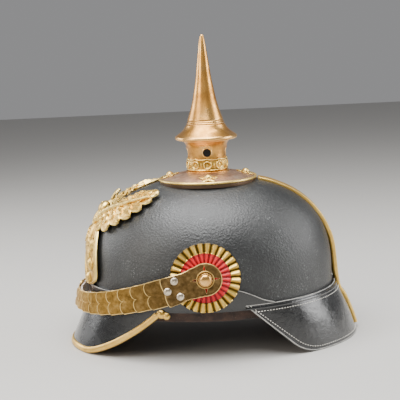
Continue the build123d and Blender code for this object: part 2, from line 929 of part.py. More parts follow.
def wing():
    """The wing on the wearer's left: tiers of feathers, each one higher than the last."""
    plan = wing_plan()
    body = None
    for tier in range(wing_tiers):
        layer = dome_solid(plate_sheet_rise + tier * plate_tier_rise) & plan
        layer &= wing_prism(tier * wing_tier_step, wing_feathers)
        body = layer if body is None else body + layer
    return body


def front_prism(face):
    """A front-view face in YZ, extruded forward from the skull's shoulder."""
    return Pos(plate_front_x, 0, 0) * extrude(Plane.YZ * face, amount=skull_half_length, dir=(-1, 0, 0))


def plate_place(across_share, up_share):
    """A place on the plate's field in front view, from shares of its half-width and its height."""
    rise = plate_top_height - plate_foot_height
    return (plate_half_width * across_share, plate_foot_height + rise * up_share)


def plate_outline():
    """A face that is the same on both sides: a spline up one side, over the top and down."""
    right = [plate_place(*shares) for shares in plate_low_outline_shares + plate_high_outline_shares]
    left = [(-y, z) for y, z in reversed(right)]
    points = [plate_place(0, 0)] + right + [plate_place(0, 1)] + left
    return make_face(Spline(*points, periodic=True))


def tail_face():
    """A fan of tail feathers, rounded at the foot."""
    step = 2 * tail_half_width / tail_feathers
    arcs = []
    for index in range(tail_feathers):
        start = (-tail_half_width + step * index, tail_low)
        end = (start[0] + step, tail_low)
        arcs.append(ThreePointArc(start, (start[0] + step / 2, tail_low - step / 2), end))
    root = tail_half_width * tail_root_share
    sides = [(tail_half_width, tail_low), (root, tail_top), (-root, tail_top), (-tail_half_width, tail_low)]
    closing = Polyline(*sides)
    return make_face(Curve() + arcs + [closing])


def crown_face():
    step = 2 * crown_half_width / (2 * crown_points - 2)
    band = crown_half_width * crown_band_share
    points = [(-band, crown_low), (band, crown_low)]
    middle = (crown_low + crown_high) / 2
    for index in range(2 * crown_points - 1):
        height = crown_high if index % 2 == 0 else middle
        points.append((crown_half_width - step * index, height))
    return make_face(Polyline(*points, close=True))


def head_face():
    """The eagle's head in profile, its beak turned to the wearer's right."""
    neck = Pos(0, -head_radius) * Rectangle(2 * head_radius * head_neck_share, 2 * head_radius)
    beak = Polyline(
        (0, head_radius * beak_top_share),
        (beak_length, head_radius * beak_tip_share),
        (0, head_radius * beak_low_share),
        close=True,
    )
    profile = Circle(head_radius) + make_face(beak)
    return Pos(0, head_height) * neck + Pos(head_aside, head_height) * profile


def eagle_plate():
    layers = []
    layers.append((front_prism(plate_outline()), plate_sheet_rise))
    breast = Pos(0, body_height) * Ellipse(body_half_width, body_half_height)
    layers.append((front_prism(breast), plate_body_rise))
    layers.append((front_prism(tail_face()), plate_body_rise - plate_tier_rise))
    lobe_places = [plate_place(*shares) for shares in plate_lobe_shares]
    lobes = Sketch() + [
        Pos(side * y, z) * Circle(plate_lobe_radius) for y, z in lobe_places for side in (-1, 1)
    ]
    layers.append((front_prism(lobes), plate_body_rise - plate_tier_rise))
    shield = make_face(
        Polyline(
            (-shield_half_width, shield_high),
            (shield_half_width, shield_high),
            (shield_half_width, (shield_high + shield_low) / 2),
            (0, shield_low),
            (-shield_half_width, (shield_high + shield_low) / 2),
            close=True,
        )
    )
    layers.append((front_prism(shield), plate_shield_rise))
    layers.append((front_prism(head_face()), plate_head_rise))
    layers.append((front_prism(crown_face()), plate_crown_rise))
    plate = dome_solid(plate_sheet_rise) & layers[0][0]
    for prism, rise in layers[1:]:
        plate += dome_solid(rise) & prism
    left_wing = wing()
    plate = plate + left_wing + other_side(left_wing)
    plate = largest(plate - dome_solid(plate_air))
    for place in plate_stud_frames():
        reach = plate_air + skull_wall + nut_height + plate_tier_rise
        shank = Cylinder(stud_shank_radius, reach, align=(Align.CENTER, Align.CENTER, Align.MAX))
        plate += place * Pos(0, 0, plate_air + plate_tier_rise / 2) * shank
    return plate


def fluted_ring(inner, outer, depth, count, flute):
    """A ring whose front face has radial grooves."""
    ring = Cylinder(outer, depth, align=(Align.CENTER, Align.CENTER, Align.MIN))
    ring -= Cylinder(inner, depth, align=(Align.CENTER, Align.CENTER, Align.MIN))
    grooves = []
    for index in range(count):
        groove = Cylinder(flute, outer - inner + 2 * flute, align=(Align.CENTER, Align.CENTER, Align.MIN))
        turn = Rot(0, 0, 360 * index / count)
        lift = depth + flute * flute_lift_share
        grooves.append(turn * Pos(inner - flute, 0, lift) * Rot(0, 90, 0) * groove)
    return ring - grooves


def cockade_place():
    return post_axis(-1) * Pos(0, 0, cockade_back - post_plane)


def cockade_rim():
    return cockade_place() * fluted_ring(
        cockade_rim_inner, cockade_radius, cockade_depth, cockade_flutes, flute_radius
    )


def cockade_disc():
    outer = cockade_rim_inner - cockade_disc_gap
    return cockade_place() * fluted_ring(
        cockade_hole_radius, outer, cockade_disc_depth, cockade_flutes, flute_radius * disc_flute_share
    )


def post_nut_plane():
    """Distance from the middle plane of the post nut's outer face, clear of the curved wall."""
    share = (post_height + post_nut_radius - dome_start_height) / (dome_rise - skull_wall)
    reach = (1 - share**dome_exponent) ** (1 / dome_exponent)
    along = (abs(post_x) + post_nut_radius) / (skull_half_length - skull_wall)
    return (skull_half_width - skull_wall) * math.sqrt(reach**2 - along**2) - soft_gap


def side_post():
    """The screwed post: a shank through the skull with a collar over the cockade."""
    inner_end = post_nut_plane() - post_nut_height
    outer_end = post_plane + knob_gap + knob_height
    shank = Cylinder(post_shank_radius, outer_end - inner_end, align=(Align.CENTER, Align.CENTER, Align.MIN))
    shank = Pos(0, 0, inner_end - post_plane) * shank
    low = cockade_back + cockade_disc_depth + seat_gap
    high = post_plane - end_leather / 2 - post_collar_gap
    collar = Cylinder(post_collar_radius, high - low, align=(Align.CENTER, Align.CENTER, Align.MIN))
    return post_axis(-1) * (shank + Pos(0, 0, low - post_plane) * collar)


def post_nut():
    """Flat nut inside the skull that holds a side post."""
    nut = Cylinder(post_nut_radius, post_nut_height)
    nut -= Cylinder(post_shank_radius + fit_clearance, cut_overrun)
    return post_axis(-1) * Pos(0, 0, post_nut_plane() - post_nut_height / 2 - post_plane) * nut


def post_knob():
    """Domed knob screwed on the post's outer end over the end plate."""
    low = end_leather / 2 + end_plate_thickness + knob_gap
    base = Cylinder(knob_radius, knob_height / 2, align=(Align.CENTER, Align.CENTER, Align.MIN))
    cap = Sphere(knob_radius) & Box(*(3 * [2 * knob_radius]), align=(Align.CENTER, Align.CENTER, Align.MIN))
    knob = base + Pos(0, 0, knob_height / 2) * scale(cap, by=(1, 1, knob_dome_share))
    above = (Align.CENTER, Align.CENTER, Align.MIN)
    bore = Cylinder(post_shank_radius + fit_clearance, knob_height, align=above)
    knob -= Pos(0, 0, -fit_clearance) * bore
    return post_axis(-1) * Pos(0, 0, low) * knob


# The path that each half of the chin scales follows, on the wearer's left

def path_point(turn):
    """A point of the strap's middle line, by the angle in plan from the post, in radians."""
    share = math.sin(turn)
    x = post_x - (strap_front + post_x) * share
    y = -strap_half_path_width * math.cos(turn)
    z = post_height - strap_drop * (1 - (1 - share) ** strap_drop_exponent)
    return Vector(x, y, z)


def path_up(turn):
    """The strap's width direction at a point: upright at the post, leaning back at the front."""
    outward = Vector(-math.sin(turn) / (strap_front + post_x), -math.cos(turn) / strap_half_path_width, 0)
    lean = math.radians(strap_lean) * (1 - math.cos(turn))
    return Vector(0, 0, math.cos(lean)) - outward.normalized() * math.sin(lean)


def joint_turns():
    """Angles of the joints along the path, evenly spaced from the end plate to the middle."""
    samples = 2000
    turns = [math.pi / 2 * index / samples for index in range(samples + 1)]
    lengths = [0.0]
    for before, after in zip(turns, turns[1:]):
        lengths.append(lengths[-1] + (path_point(after) - path_point(before)).length)
    pitch = (lengths[-1] - strap_mid_gap - end_plate_joint) / links_per_half
    found = []
    for link in range(links_per_half + 1):
        wanted = end_plate_joint + pitch * link
        index = next(i for i, length in enumerate(lengths) if length >= wanted)
        found.append(turns[index])
    return found


def end_plate_frame():
    """Frame of the end plate: x along the strap, z out of the helmet, at the post."""
    slope = math.radians(strap_slope)
    along = Vector(-math.cos(slope), 0, -math.sin(slope))
    return Plane(Vector(post_x, -post_plane, post_height), x_dir=along, z_dir=(0, -1, 0))


def link_frames():
    """A frame for each link at its joint with the one before: x along it, z outward."""
    turns = joint_turns()
    frames = []
    for here, there in zip(turns, turns[1:]):
        start = path_point(here)
        along = (path_point(there) - start).normalized()
        up = path_up((here + there) / 2)
        outward = up.cross(along)
        if outward.dot(Vector(start.X, start.Y, 0)) < 0:
            outward = -outward
        frames.append(Plane(start, x_dir=along, z_dir=outward.normalized()))
    return frames


link_planes = link_frames()
link_pitch = (path_point(joint_turns()[1]) - path_point(joint_turns()[0])).length


def scale_half_width(index):
    share = index / (links_per_half - 1)
    return first_scale_half_width + (last_scale_half_width - first_scale_half_width) * share


def link_scale(index):
    """One brass scale with a lobed front edge, its lug and the leather below it."""
    half = scale_half_width(index)
    last = index == links_per_half - 1
    front = link_pitch - scale_leather_gap if last else link_pitch + scale_lobe
    shoulder = link_pitch - scale_shoulder
    slope = (scale_front_lift - scale_rear_lift) / (link_pitch + scale_rear_lap + scale_lobe)
    rear = scale_first_gap if index == 0 else -scale_rear_lap
    low_rear = (rear, scale_rear_lift)
    low_front = (front, scale_rear_lift + slope * (front - rear))
    side = Polyline(
        low_rear,
        low_front,
        (low_front[0], low_front[1] + scale_thickness),
        (low_rear[0], low_rear[1] + scale_thickness),
        close=True,
    )
    plate = extrude(Plane.XZ * make_face(side), amount=half, dir=(0, 1, 0), both=True)
    if not last:
        cusp = (link_pitch - scale_cusp, 0)
        outline = Curve() + [
            Polyline((shoulder, -half), (rear, -half), (rear, half), (shoulder, half)),
            ThreePointArc((shoulder, half), (front, half / 2), cusp),
            ThreePointArc(cusp, (front, -half / 2), (shoulder, -half)),
        ]
        plate &= extrude(make_face(outline), amount=scale_front_lift * 2, dir=(0, 0, 1))
    lug_top = scale_rear_lift + slope * (scale_lug_place - rear) + scale_thickness / 2
    lug_low = -scale_leather / 2 - scale_lug_tail
    for across in (-half / 2, half / 2):
        lug = Cylinder(scale_lug_radius, lug_top - lug_low, align=(Align.CENTER, Align.CENTER, Align.MIN))
        plate += Pos(scale_lug_place, across, lug_low) * lug
    leather = Box(
        link_pitch - scale_leather_gap,
        2 * (half - scale_leather_margin),
        scale_leather,
        align=(Align.MIN, Align.CENTER, Align.CENTER),
    )
    leather = Pos(scale_leather_gap / 2, 0, 0) * leather
    for across in (-half / 2, half / 2):
        leather -= Pos(scale_lug_place, across, 0) * Cylinder(scale_lug_radius + seat_gap, cut_overrun)
    return [plate, leather]


def bend_radius(degrees):
    """Radius of the arc that turns by some degrees from the flat part to the first joint."""
    return (end_plate_joint - end_plate_flat) / math.radians(degrees)


def end_sheet(low, high, degrees):
    """A wide sheet that is flat round the post and then bends inward, between two levels."""
    radius = bend_radius(degrees)
    turn = math.radians(degrees) * end_sheet_overrun_share
    lines = []
    for level in (low, high):
        arm = radius + level
        start = (end_plate_flat, level)
        middle = (end_plate_flat + arm * math.sin(turn / 2), level - arm * (1 - math.cos(turn / 2)))
        end = (end_plate_flat + arm * math.sin(turn), level - arm * (1 - math.cos(turn)))
        lines.append((start, middle, end))
    rear = -2 * end_plate_round
    lower, upper = lines
    outline = Curve() + [
        Line((rear, low), lower[0]),
        ThreePointArc(*lower),
        Line(lower[2], upper[2]),
        ThreePointArc(*upper),
        Polyline(upper[0], (rear, high), (rear, low)),
    ]
    face = Plane.XZ * make_face(outline)
    return extrude(face, amount=end_plate_round + cut_overrun, dir=(0, 1, 0), both=True)


def through(face):
    """A flat outline made a prism through the end plate and its leather."""
    return Pos(0, 0, -cut_overrun / 2) * extrude(face, amount=cut_overrun, dir=(0, 0, 1))


def end_outline(grow, front):
    """Outline of the end plate: round at the post, a waist, then the strap's width."""
    radius = end_plate_round + grow
    half = end_plate_half_width + grow
    waist = end_plate_waist + grow
    shoulders = [(0, radius), (end_plate_shoulder, waist), (end_plate_shoulder, -waist), (0, -radius)]
    disc = Circle(radius) + make_face(Polyline(*shoulders, close=True))
    bar = Pos(front / 2, 0) * Rectangle(front, 2 * waist)
    flare = make_face(
        Polyline((front / 2, waist), (front, half), (front, -half), (front / 2, -waist), close=True)
    )
    return disc + bar + flare


def star_hole():
    """Outline of the hole over the post: a circle with four points."""
    point = make_face(Polyline((0, star_hole_width), (star_hole_reach, 0), (0, -star_hole_width), close=True))
    points = [Rot(0, 0, turn - star_hole_turn) * point for turn in (0, 90, 180, 270)]
    return Circle(post_shank_radius + fit_clearance) + points


def end_plate():
    """Brass end plate with a lobed front edge and a star-shaped hole over the post."""
    low = end_leather / 2 + seat_gap
    body = end_sheet(low, low + end_plate_thickness, end_plate_turn)
    side = end_plate_joint - end_plate_lobe
    front = end_plate_joint + end_plate_lobe
    outline = end_outline(0, side)
    tip = end_plate_half_width
    root = side - end_plate_lobe
    lobes = Curve() + [
        Polyline((side, tip), (root, tip), (root, -tip), (side, -tip)),
        ThreePointArc((side, -tip), (front, -tip / 2), (side, 0)),
        ThreePointArc((side, 0), (front, tip / 2), (side, tip)),
    ]
    outline += make_face(lobes)
    body &= through(outline)
    body -= through(star_hole())
    for frame in rivet_frames():
        body -= frame * Cylinder(rivet_shank_radius + fit_clearance, cut_overrun)
    return body


def end_leather_piece():
    """Leather below the end plate, with the same hole for the post."""
    half = end_leather / 2
    body = end_sheet(-half, half, end_leather_turn)
    outline = end_outline(-end_leather_margin, end_plate_joint - scale_leather_gap / 2)
    body &= through(outline)
    body -= through(star_hole())
    for frame in rivet_frames():
        body -= frame * Cylinder(rivet_shank_radius + fit_clearance, cut_overrun)
    return body


def bend_drop(along, degrees):
    """How far a bent sheet falls inward at a distance from the post."""
    radius = bend_radius(degrees)
    reach = max(0, along - end_plate_flat)
    return radius - math.sqrt(radius**2 - reach**2)


def rivet_places():
    """Places of the rivets in the end plate's frame, along the strap and across it."""
    return [(end_plate_joint * along, end_plate_half_width * across) for along, across in rivet_place_shares]


def rivet_frames():
    """Frames of the rivets on the end plate's outer face, z out of it."""
    frames = []
    for along, across in rivet_places():
        top = end_leather / 2 + 2 * seat_gap + end_plate_thickness - bend_drop(along, end_plate_turn)
        lean = math.degrees(math.asin(max(0, along - end_plate_flat) / bend_radius(end_plate_turn)))
        frames.append(Pos(along, across, top) * Rot(0, lean, 0))
    return frames


def end_rivets():
    rivets = []
    above = (Align.CENTER, Align.CENTER, Align.MIN)
    for frame, (along, _) in zip(rivet_frames(), rivet_places()):
        cap = Sphere(rivet_radius) & Box(*(3 * [2 * rivet_radius]), align=above)
        head = scale(cap, by=(1, 1, rivet_rise / rivet_radius))
        length = end_plate_thickness + end_leather + seat_gap
        length += bend_drop(along, end_leather_turn) - bend_drop(along, end_plate_turn)
        shank = Cylinder(rivet_shank_radius, length, align=(Align.CENTER, Align.CENTER, Align.MAX))
        rivets.append(frame * (head + shank))
    return rivets


def closing_tab(with_hook):
    """Brass tab under the last scale's front edge: a hook on one half, an eye on the other."""
    half = hook_width / 2
    rise = scale_leather / 2 + seat_gap
    start = link_pitch - hook_length
    beside = (Align.MIN, Align.CENTER, Align.MAX)
    tab = Box(hook_length - scale_leather_gap, hook_width, hook_wire, align=beside)
    tab = Pos(start, 0, -rise) * tab
    if with_hook:
        lip = Box(hook_wire, half, 2 * hook_wire, align=(Align.MIN, Align.CENTER, Align.MAX))
        tab += Pos(link_pitch - scale_leather_gap - hook_wire, 0, -rise) * lip
    else:
        tab -= Pos(start + hook_length / 2, 0, 0) * Cylinder(half / 2, cut_overrun)
    return tab


def other_side(shape):
    return mirror(shape, about=Plane.XZ)


def sweatband():
    outer = -skull_wall - soft_gap
    ring = dome_solid(outer, dome_foot_height) - dome_solid(outer - sweatband_thickness, dome_foot_height)
    ring &= slab(sweatband_low, sweatband_high)
    for side in (-1, 1):
        ring -= post_axis(side) * Cylinder(post_nut_radius + soft_gap, cut_overrun)
    return ring


def head_liner():
    outer = -skull_wall - soft_gap - sweatband_thickness - liner_gap
    bag = dome_solid(outer, liner_low) - dome_solid(outer - liner_thickness, dome_foot_height)
    bag -= Pos(0, 0, dome_start_height + dome_rise) * Cylinder(crown_hole_radius, cut_overrun)
    for side in (-1, 1):
        bag -= post_axis(side) * Cylinder(post_nut_radius + soft_gap, cut_overrun)
    return bag


# Building and writing every sub-part

nodes = {
    "skull": [skull()],
    "front_visor": [front_visor()],
    "front_visor_lining": [front_visor_lining()],
    "front_visor_trim": [front_visor_trim()],
    "trim_end_clips": trim_end_clips(),
    "rear_visor": [rear_visor()],
    "rear_visor_lining": [rear_visor_lining()],
    "rear_spine": [rear_spine()],
    "spike_base": [spike_base()],
    "base_star_studs": base_star_studs(),
    "inner_nuts": inner_nuts(),
    "spike_neck": [spike_neck()],
    "neck_gallery": [neck_gallery()],
    "spike": [spike()],
    "spike_stem": [spike_stem()],
    "eagle_plate": [eagle_plate()],
    "sweatband": [sweatband()],
    "head_liner": [head_liner()],
}
end_place = end_plate_frame().location
left_nodes = {
    "cockade_rim": [cockade_rim()],
    "cockade_disc": [cockade_disc()],
    "side_post": [side_post()],
    "post_nut": [post_nut()],
    "post_knob": [post_knob()],
    "end_plate": [end_place * end_plate()],
    "end_leather": [end_place * end_leather_piece()],
    "end_rivets": [end_place * rivet for rivet in end_rivets()],
}
for index, plane in enumerate(link_planes):
    left_nodes[f"scale_{index + 1:02d}"] = [plane.location * piece for piece in link_scale(index)]
for name, pieces in left_nodes.items():
    nodes[f"left_{name}"] = pieces
    nodes[f"right_{name}"] = [other_side(piece) for piece in pieces]
nodes["left_closing_hook"] = [link_planes[-1].location * closing_tab(True)]
nodes["right_closing_eye"] = [other_side(link_planes[-1].location * closing_tab(False))]

os.makedirs("parts", exist_ok=True)
for name, pieces in nodes.items():
    solids = [solid for piece in pieces for solid in piece.solids()]
    shape = solids[0] if len(solids) == 1 else Compound(children=solids)
    shape.label = name
    export_step(shape, f"parts/{name}.step")


def joint_axis(before, after):
    """Unit axis that the joint between two frames turns about, and its angle to straighten it."""
    axis = (before.y_dir + after.y_dir).normalized()
    old = after.x_dir - axis * axis.dot(after.x_dir)
    new = before.x_dir - axis * axis.dot(before.x_dir)
    angle = math.degrees(math.atan2(axis.dot(old.cross(new)), old.dot(new)))
    return axis, angle


previous = end_plate_frame()
print("post", tuple(previous.origin), "swing", swing_range)
for index, plane in enumerate(link_planes):
    axis, angle = joint_axis(previous, plane)
    full = angle * uncurl_share + math.copysign(first_link_extra if index == 0 else 0, angle)
    print("link", index + 1, tuple(plane.origin), tuple(axis), round(full, 3))
    previous = plane
print("thread", thread_pitch, thread_turns)
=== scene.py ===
# %% [markdown]
# A spiked leather parade helmet, built round its measured frame. Every shape here is a function of
# two numbers, worked out on a grid with numpy, so each cell says in words what its formula is.
# Lengths are in millimetres until a mesh is made, and the frame's metres after that.

# %% Load the frame
import math
import bpy
import bmesh
import numpy as np
from mathutils import Matrix, Vector


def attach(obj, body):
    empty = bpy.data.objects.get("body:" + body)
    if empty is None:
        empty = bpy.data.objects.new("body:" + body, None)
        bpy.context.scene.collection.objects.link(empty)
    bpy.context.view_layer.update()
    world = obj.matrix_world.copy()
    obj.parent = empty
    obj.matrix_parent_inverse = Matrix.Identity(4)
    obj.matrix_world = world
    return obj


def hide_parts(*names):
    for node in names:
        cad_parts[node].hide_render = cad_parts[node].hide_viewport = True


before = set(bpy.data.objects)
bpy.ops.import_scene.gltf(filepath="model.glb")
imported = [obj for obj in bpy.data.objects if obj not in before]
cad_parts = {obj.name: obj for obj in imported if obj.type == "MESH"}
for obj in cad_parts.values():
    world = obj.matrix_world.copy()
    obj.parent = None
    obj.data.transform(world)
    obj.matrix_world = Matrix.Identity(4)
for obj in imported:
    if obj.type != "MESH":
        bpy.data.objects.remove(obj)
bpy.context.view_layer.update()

# %% [markdown]
# A grid of points becomes a skin of four-sided faces. A closed direction joins its last row to its
# first. Merging the doubles closes the poles, and only then are the normals turned outwards,
# because a face that has lost an edge to a pole would mislead them.

# %% Grids to meshes
MILLIMETRE = 0.001
MERGE_METRES = 2e-6


def grid_faces(rows, columns, close_rows, close_columns, first=0):
    """Four corners a face: each cell's two neighbours along the row and the two in the next row."""
    row_steps, column_steps = np.arange(rows - 1 + close_rows), np.arange(columns - 1 + close_columns)
    i, j = np.meshgrid(row_steps, column_steps, indexing="ij")
    down, right = (i + 1) % rows, (j + 1) % columns
    corners = np.stack([i * columns + j, down * columns + j, down * columns + right, i * columns + right], -1)
    return corners.reshape(-1, 4) + first


def make_piece(name, patches, body, material, smooth_angle=40, turn_out=True):
    """One object from several grids. A patch is (points, close_rows, close_columns, mark or None,
    material index). The mark is two numbers a point, kept in a UV map for the materials to read."""
    points, faces, marks, slots = [], [], [], []
    count = 0
    for patch in patches:
        grid, close_rows, close_columns = patch[:3]
        mark = patch[3] if len(patch) > 3 else None
        slot = patch[4] if len(patch) > 4 else 0
        rows, columns = grid.shape[:2]
        points.append(grid.reshape(-1, 3))
        marks.append(np.zeros((rows * columns, 2)) if mark is None else mark.reshape(-1, 2))
        part = grid_faces(rows, columns, close_rows, close_columns, count)
        faces.append(part)
        slots.append(np.full(len(part), slot))
        count += rows * columns
    points, faces = np.concatenate(points), np.concatenate(faces)
    marks, slots = np.concatenate(marks), np.concatenate(slots)
    mesh = bpy.data.meshes.new(name)
    mesh.from_pydata((points * MILLIMETRE).tolist(), [], faces.tolist())
    layer = mesh.uv_layers.new(name="marks")
    order = np.empty(len(mesh.loops), dtype=np.int32)
    mesh.loops.foreach_get("vertex_index", order)
    layer.data.foreach_set("uv", marks[order].astype(np.float32).ravel())
    mesh.polygons.foreach_set("material_index", slots.astype(np.int32))
    if turn_out:
        work = bmesh.new()
        work.from_mesh(mesh)
        bmesh.ops.remove_doubles(work, verts=work.verts, dist=MERGE_METRES)
        bmesh.ops.recalc_face_normals(work, faces=work.faces)
        work.to_mesh(mesh)
        work.free()
    mesh.shade_smooth()
    mesh.set_sharp_from_angle(angle=math.radians(smooth_angle))
    piece = bpy.data.objects.new(name, mesh)
    bpy.context.scene.collection.objects.link(piece)
    for one in material if isinstance(material, (list, tuple)) else [material]:
        mesh.materials.append(one)
    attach(piece, body)
    return piece


def mirrored(patches):
    """The same grids on the helmet's other side: y changes its sign."""
    return [(patch[0] * np.array([1.0, -1.0, 1.0]), *patch[1:]) for patch in patches]


def closed_shell(outer, inner):
    """A sheet with a thickness as one closed ring of rows: out over one face, back under the other."""
    return np.concatenate([outer, inner[::-1]], axis=0)


def cut_ends(shell, mark=None, slot=0):
    """A strip between a shell's two faces at each of its open ends, with the shell's own marks."""
    half = shell.shape[0] // 2
    ends = []
    for k in (0, -1):
        strip = np.stack([shell[:half, k], shell[::-1][:half, k]])
        marks = None if mark is None else np.stack([mark[:half, k]] * 2)
        ends.append((strip, False, False, marks, slot))
    return ends


def stack(*parts):
    """Points, or marks, from coordinates that are spread over one grid."""
    return np.stack(np.broadcast_arrays(*parts), -1)


def once_round(count):
    """Evenly spaced angles of a full turn. The last one stops short of the first."""
    return np.linspace(0, 2 * np.pi, count, endpoint=False)


def bell(distance, width):
    """A smooth bead across a distance: the exponential of less the square of distance over width."""
    return np.exp(-((distance / width) ** 2))


def rounded(value, power):
    """A sine or cosine to a power, with its sign kept: a power below one gives a squarer round."""
    return np.sign(value) * np.abs(value) ** power


def revolve(profile, columns=96):
    """A profile of (radius, height) turned about a vertical line: x = r cos a and y = r sin a."""
    profile = np.asarray(profile, dtype=float)
    angle = once_round(columns)
    return stack(profile[:, 0:1] * np.cos(angle), profile[:, 0:1] * np.sin(angle), profile[:, 1:2])


def smooth_line(points, count, closed=False):
    """A curve through points by Catmull and Rom's cubic, evenly counted between them."""
    points = np.asarray(points, dtype=float)
    size = len(points)
    t = np.linspace(0, size if closed else size - 1, count, endpoint=not closed)
    i = np.minimum(np.floor(t).astype(int), size - (1 if closed else 2))
    f = (t - i)[:, None]
    if closed:
        a, b, c, d = (points[(i + k) % size] for k in (-1, 0, 1, 2))
    else:
        a, b, c, d = (points[np.clip(i + k, 0, size - 1)] for k in (-1, 0, 1, 2))
    square, cube = 2 * a - 5 * b + 4 * c - d, 3 * b - a - 3 * c + d
    return 0.5 * (2 * b + (c - a) * f + square * f**2 + cube * f**3)


def unit(vectors):
    """The same directions, each of length one."""
    return vectors / np.maximum(np.linalg.norm(vectors, axis=-1, keepdims=True), 1e-9)


def tube(path, radius, sides=8, up=(0.0, 0.0, 1.0)):
    """A round rod: at each point of the path, a circle across it, closed by a point at each end."""
    path = np.asarray(path, dtype=float)
    radius = np.broadcast_to(radius, len(path))[:, None]
    along = unit(np.gradient(path, axis=0))
    side = unit(np.cross(along, np.asarray(up, dtype=float)))
    other = np.cross(side, along)
    angle = once_round(sides)[None, :, None]
    ring = side[:, None] * np.cos(angle) + other[:, None] * np.sin(angle)
    body = path[:, None] + ring * radius[:, :, None]
    first, last = np.repeat(path[:1, None], sides, 1), np.repeat(path[-1:, None], sides, 1)
    return np.concatenate([first, body, last], axis=0)


# %% [markdown]
# One small function adds a node with its settings and its links, and one turns a web colour to the
# linear values that the renderer works with. A surface's fine height comes from a bump node, whose
# strength is kept low, as the real grain is only a few hundredths of a millimetre high.

# %% Helpers for materials


def colour(code):
    """An sRGB hex colour as linear red, green, blue and alpha: c/12.92 when dark, a 2.4 power above."""
    values = [int(code[i : i + 2], 16) / 255 for i in (1, 3, 5)]
    return tuple(v / 12.92 if v <= 0.04045 else ((v + 0.055) / 1.055) ** 2.4 for v in values) + (1.0,)


def add_node(material, kind, settings=None, links=None):
    """Adds a node, sets its properties and unlinked sockets, and links the named inputs."""
    tree = material.node_tree
    node = tree.nodes.new(kind)
    for key, value in (settings or {}).items():
        if key in node.inputs:
            node.inputs[key].default_value = value
        else:
            setattr(node, key, value)
    for key, source in (links or {}).items():
        tree.links.new(source, node.inputs[key])
    return node


def start_material(name, **settings):
    """A material with its shader, whose named sockets are set, and its object coordinates."""
    material = bpy.data.materials.new(name)
    material.use_nodes = True
    shader = material.node_tree.nodes["Principled BSDF"]
    for key, value in settings.items():
        shader.inputs[key.replace("_", " ")].default_value = value
    place = add_node(material, "ShaderNodeTexCoord").outputs["Object"]
    return material, shader, place


def link(material, source, target):
    """Joins one node's output to another node's input."""
    material.node_tree.links.new(source, target)


def ramp(material, factor, stops):
    """A colour ramp from (position, hex colour) stops."""
    node = add_node(material, "ShaderNodeValToRGB", links={"Fac": factor})
    band = node.color_ramp
    while len(band.elements) < len(stops):
        band.elements.new(0.5)
    for element, (position, code) in zip(band.elements, stops):
        element.position = position
        element.color = colour(code)
    return node.outputs["Color"]


def noise(material, place, size, detail=4.0, roughness=0.6):
    """Noise whose patches are about size millimetres across."""
    settings = {"Scale": 1 / (size * MILLIMETRE), "Detail": detail, "Roughness": roughness}
    return add_node(material, "ShaderNodeTexNoise", settings, {"Vector": place}).outputs["Fac"]


def mix(material, factor, first, second):
    """One colour over another, by a factor that is a number or a socket."""
    node = add_node(material, "ShaderNodeMix", {"data_type": "RGBA", "blend_type": "MIX"})
    for socket, value in ((node.inputs[0], factor), (node.inputs[6], first), (node.inputs[7], second)):
        if isinstance(value, bpy.types.NodeSocket):
            link(material, value, socket)
        elif isinstance(value, str):
            socket.default_value = colour(value)
        else:
            socket.default_value = value
    return node.outputs[2]


def stretch(material, value, low, high, out_low=0.0, out_high=1.0):
    """Maps a range of values to another and cuts what lies outside it."""
    settings = {"From Min": low, "From Max": high, "To Min": out_low, "To Max": out_high}
    node = add_node(material, "ShaderNodeMapRange", settings)
    link(material, value, node.inputs["Value"])
    return node.outputs["Result"]


def bump(material, height, depth, strength=1.0, normal=None):
    """Height from a texture, its full range standing for depth millimetres."""
    node = add_node(material, "ShaderNodeBump", {"Strength": strength, "Distance": depth * MILLIMETRE})
    link(material, height, node.inputs["Height"])
    if normal is not None:
        link(material, normal, node.inputs["Normal"])
    return node.outputs["Normal"]


# %% [markdown]
# The skull is thick leather, pressed over a form, dyed black and waxed. A century of handling gives
# it a dry grey bloom, with a fine pebble that catches light as small pale specks.
# The visors are the same leather under black lacquer: a clear hard coat over a black base, crazed
# into fine cracks, and rubbed pale along its cut edges.

# %% Leathers


def blackened_leather():
    """Waxed leather: a dark base, paler where the wax has dulled, with specks where it is scuffed."""
    material, shader, place = start_material("waxed_black_leather", Roughness=0.5)
    shader.inputs["Specular IOR Level"].default_value = 0.7
    bloom = noise(material, place, 38.0, 6.0)
    grain = noise(material, place, 1.9, 4.0, 0.75)
    base = ramp(material, bloom, [(0.32, "#0c0d0d"), (0.52, "#151616"), (0.7, "#222423")])
    base = mix(material, stretch(material, grain, 0.5, 0.68, 0.0, 0.45), base, "#3f4241")
    scuffs = stretch(material, noise(material, place, 24.0, 3.0), 0.5, 0.68)
    specks = add_node(material, "ShaderNodeMath", {"operation": "MULTIPLY"})
    link(material, scuffs, specks.inputs[0])
    link(material, stretch(material, noise(material, place, 1.3, 2.0), 0.6, 0.68), specks.inputs[1])
    base = mix(material, specks.outputs["Value"], base, "#6f7371")
    link(material, base, shader.inputs["Base Color"])
    pits = add_node(material, "ShaderNodeTexVoronoi", {"Scale": 1 / (1.7 * MILLIMETRE)}, {"Vector": place})
    fine = bump(material, grain, 0.3)
    coarse = bump(material, pits.outputs["Distance"], 0.2, 0.8, fine)
    link(material, coarse, shader.inputs["Normal"])
    link(material, stretch(material, bloom, 0.3, 0.75, 0.36, 0.55), shader.inputs["Roughness"])
    return material


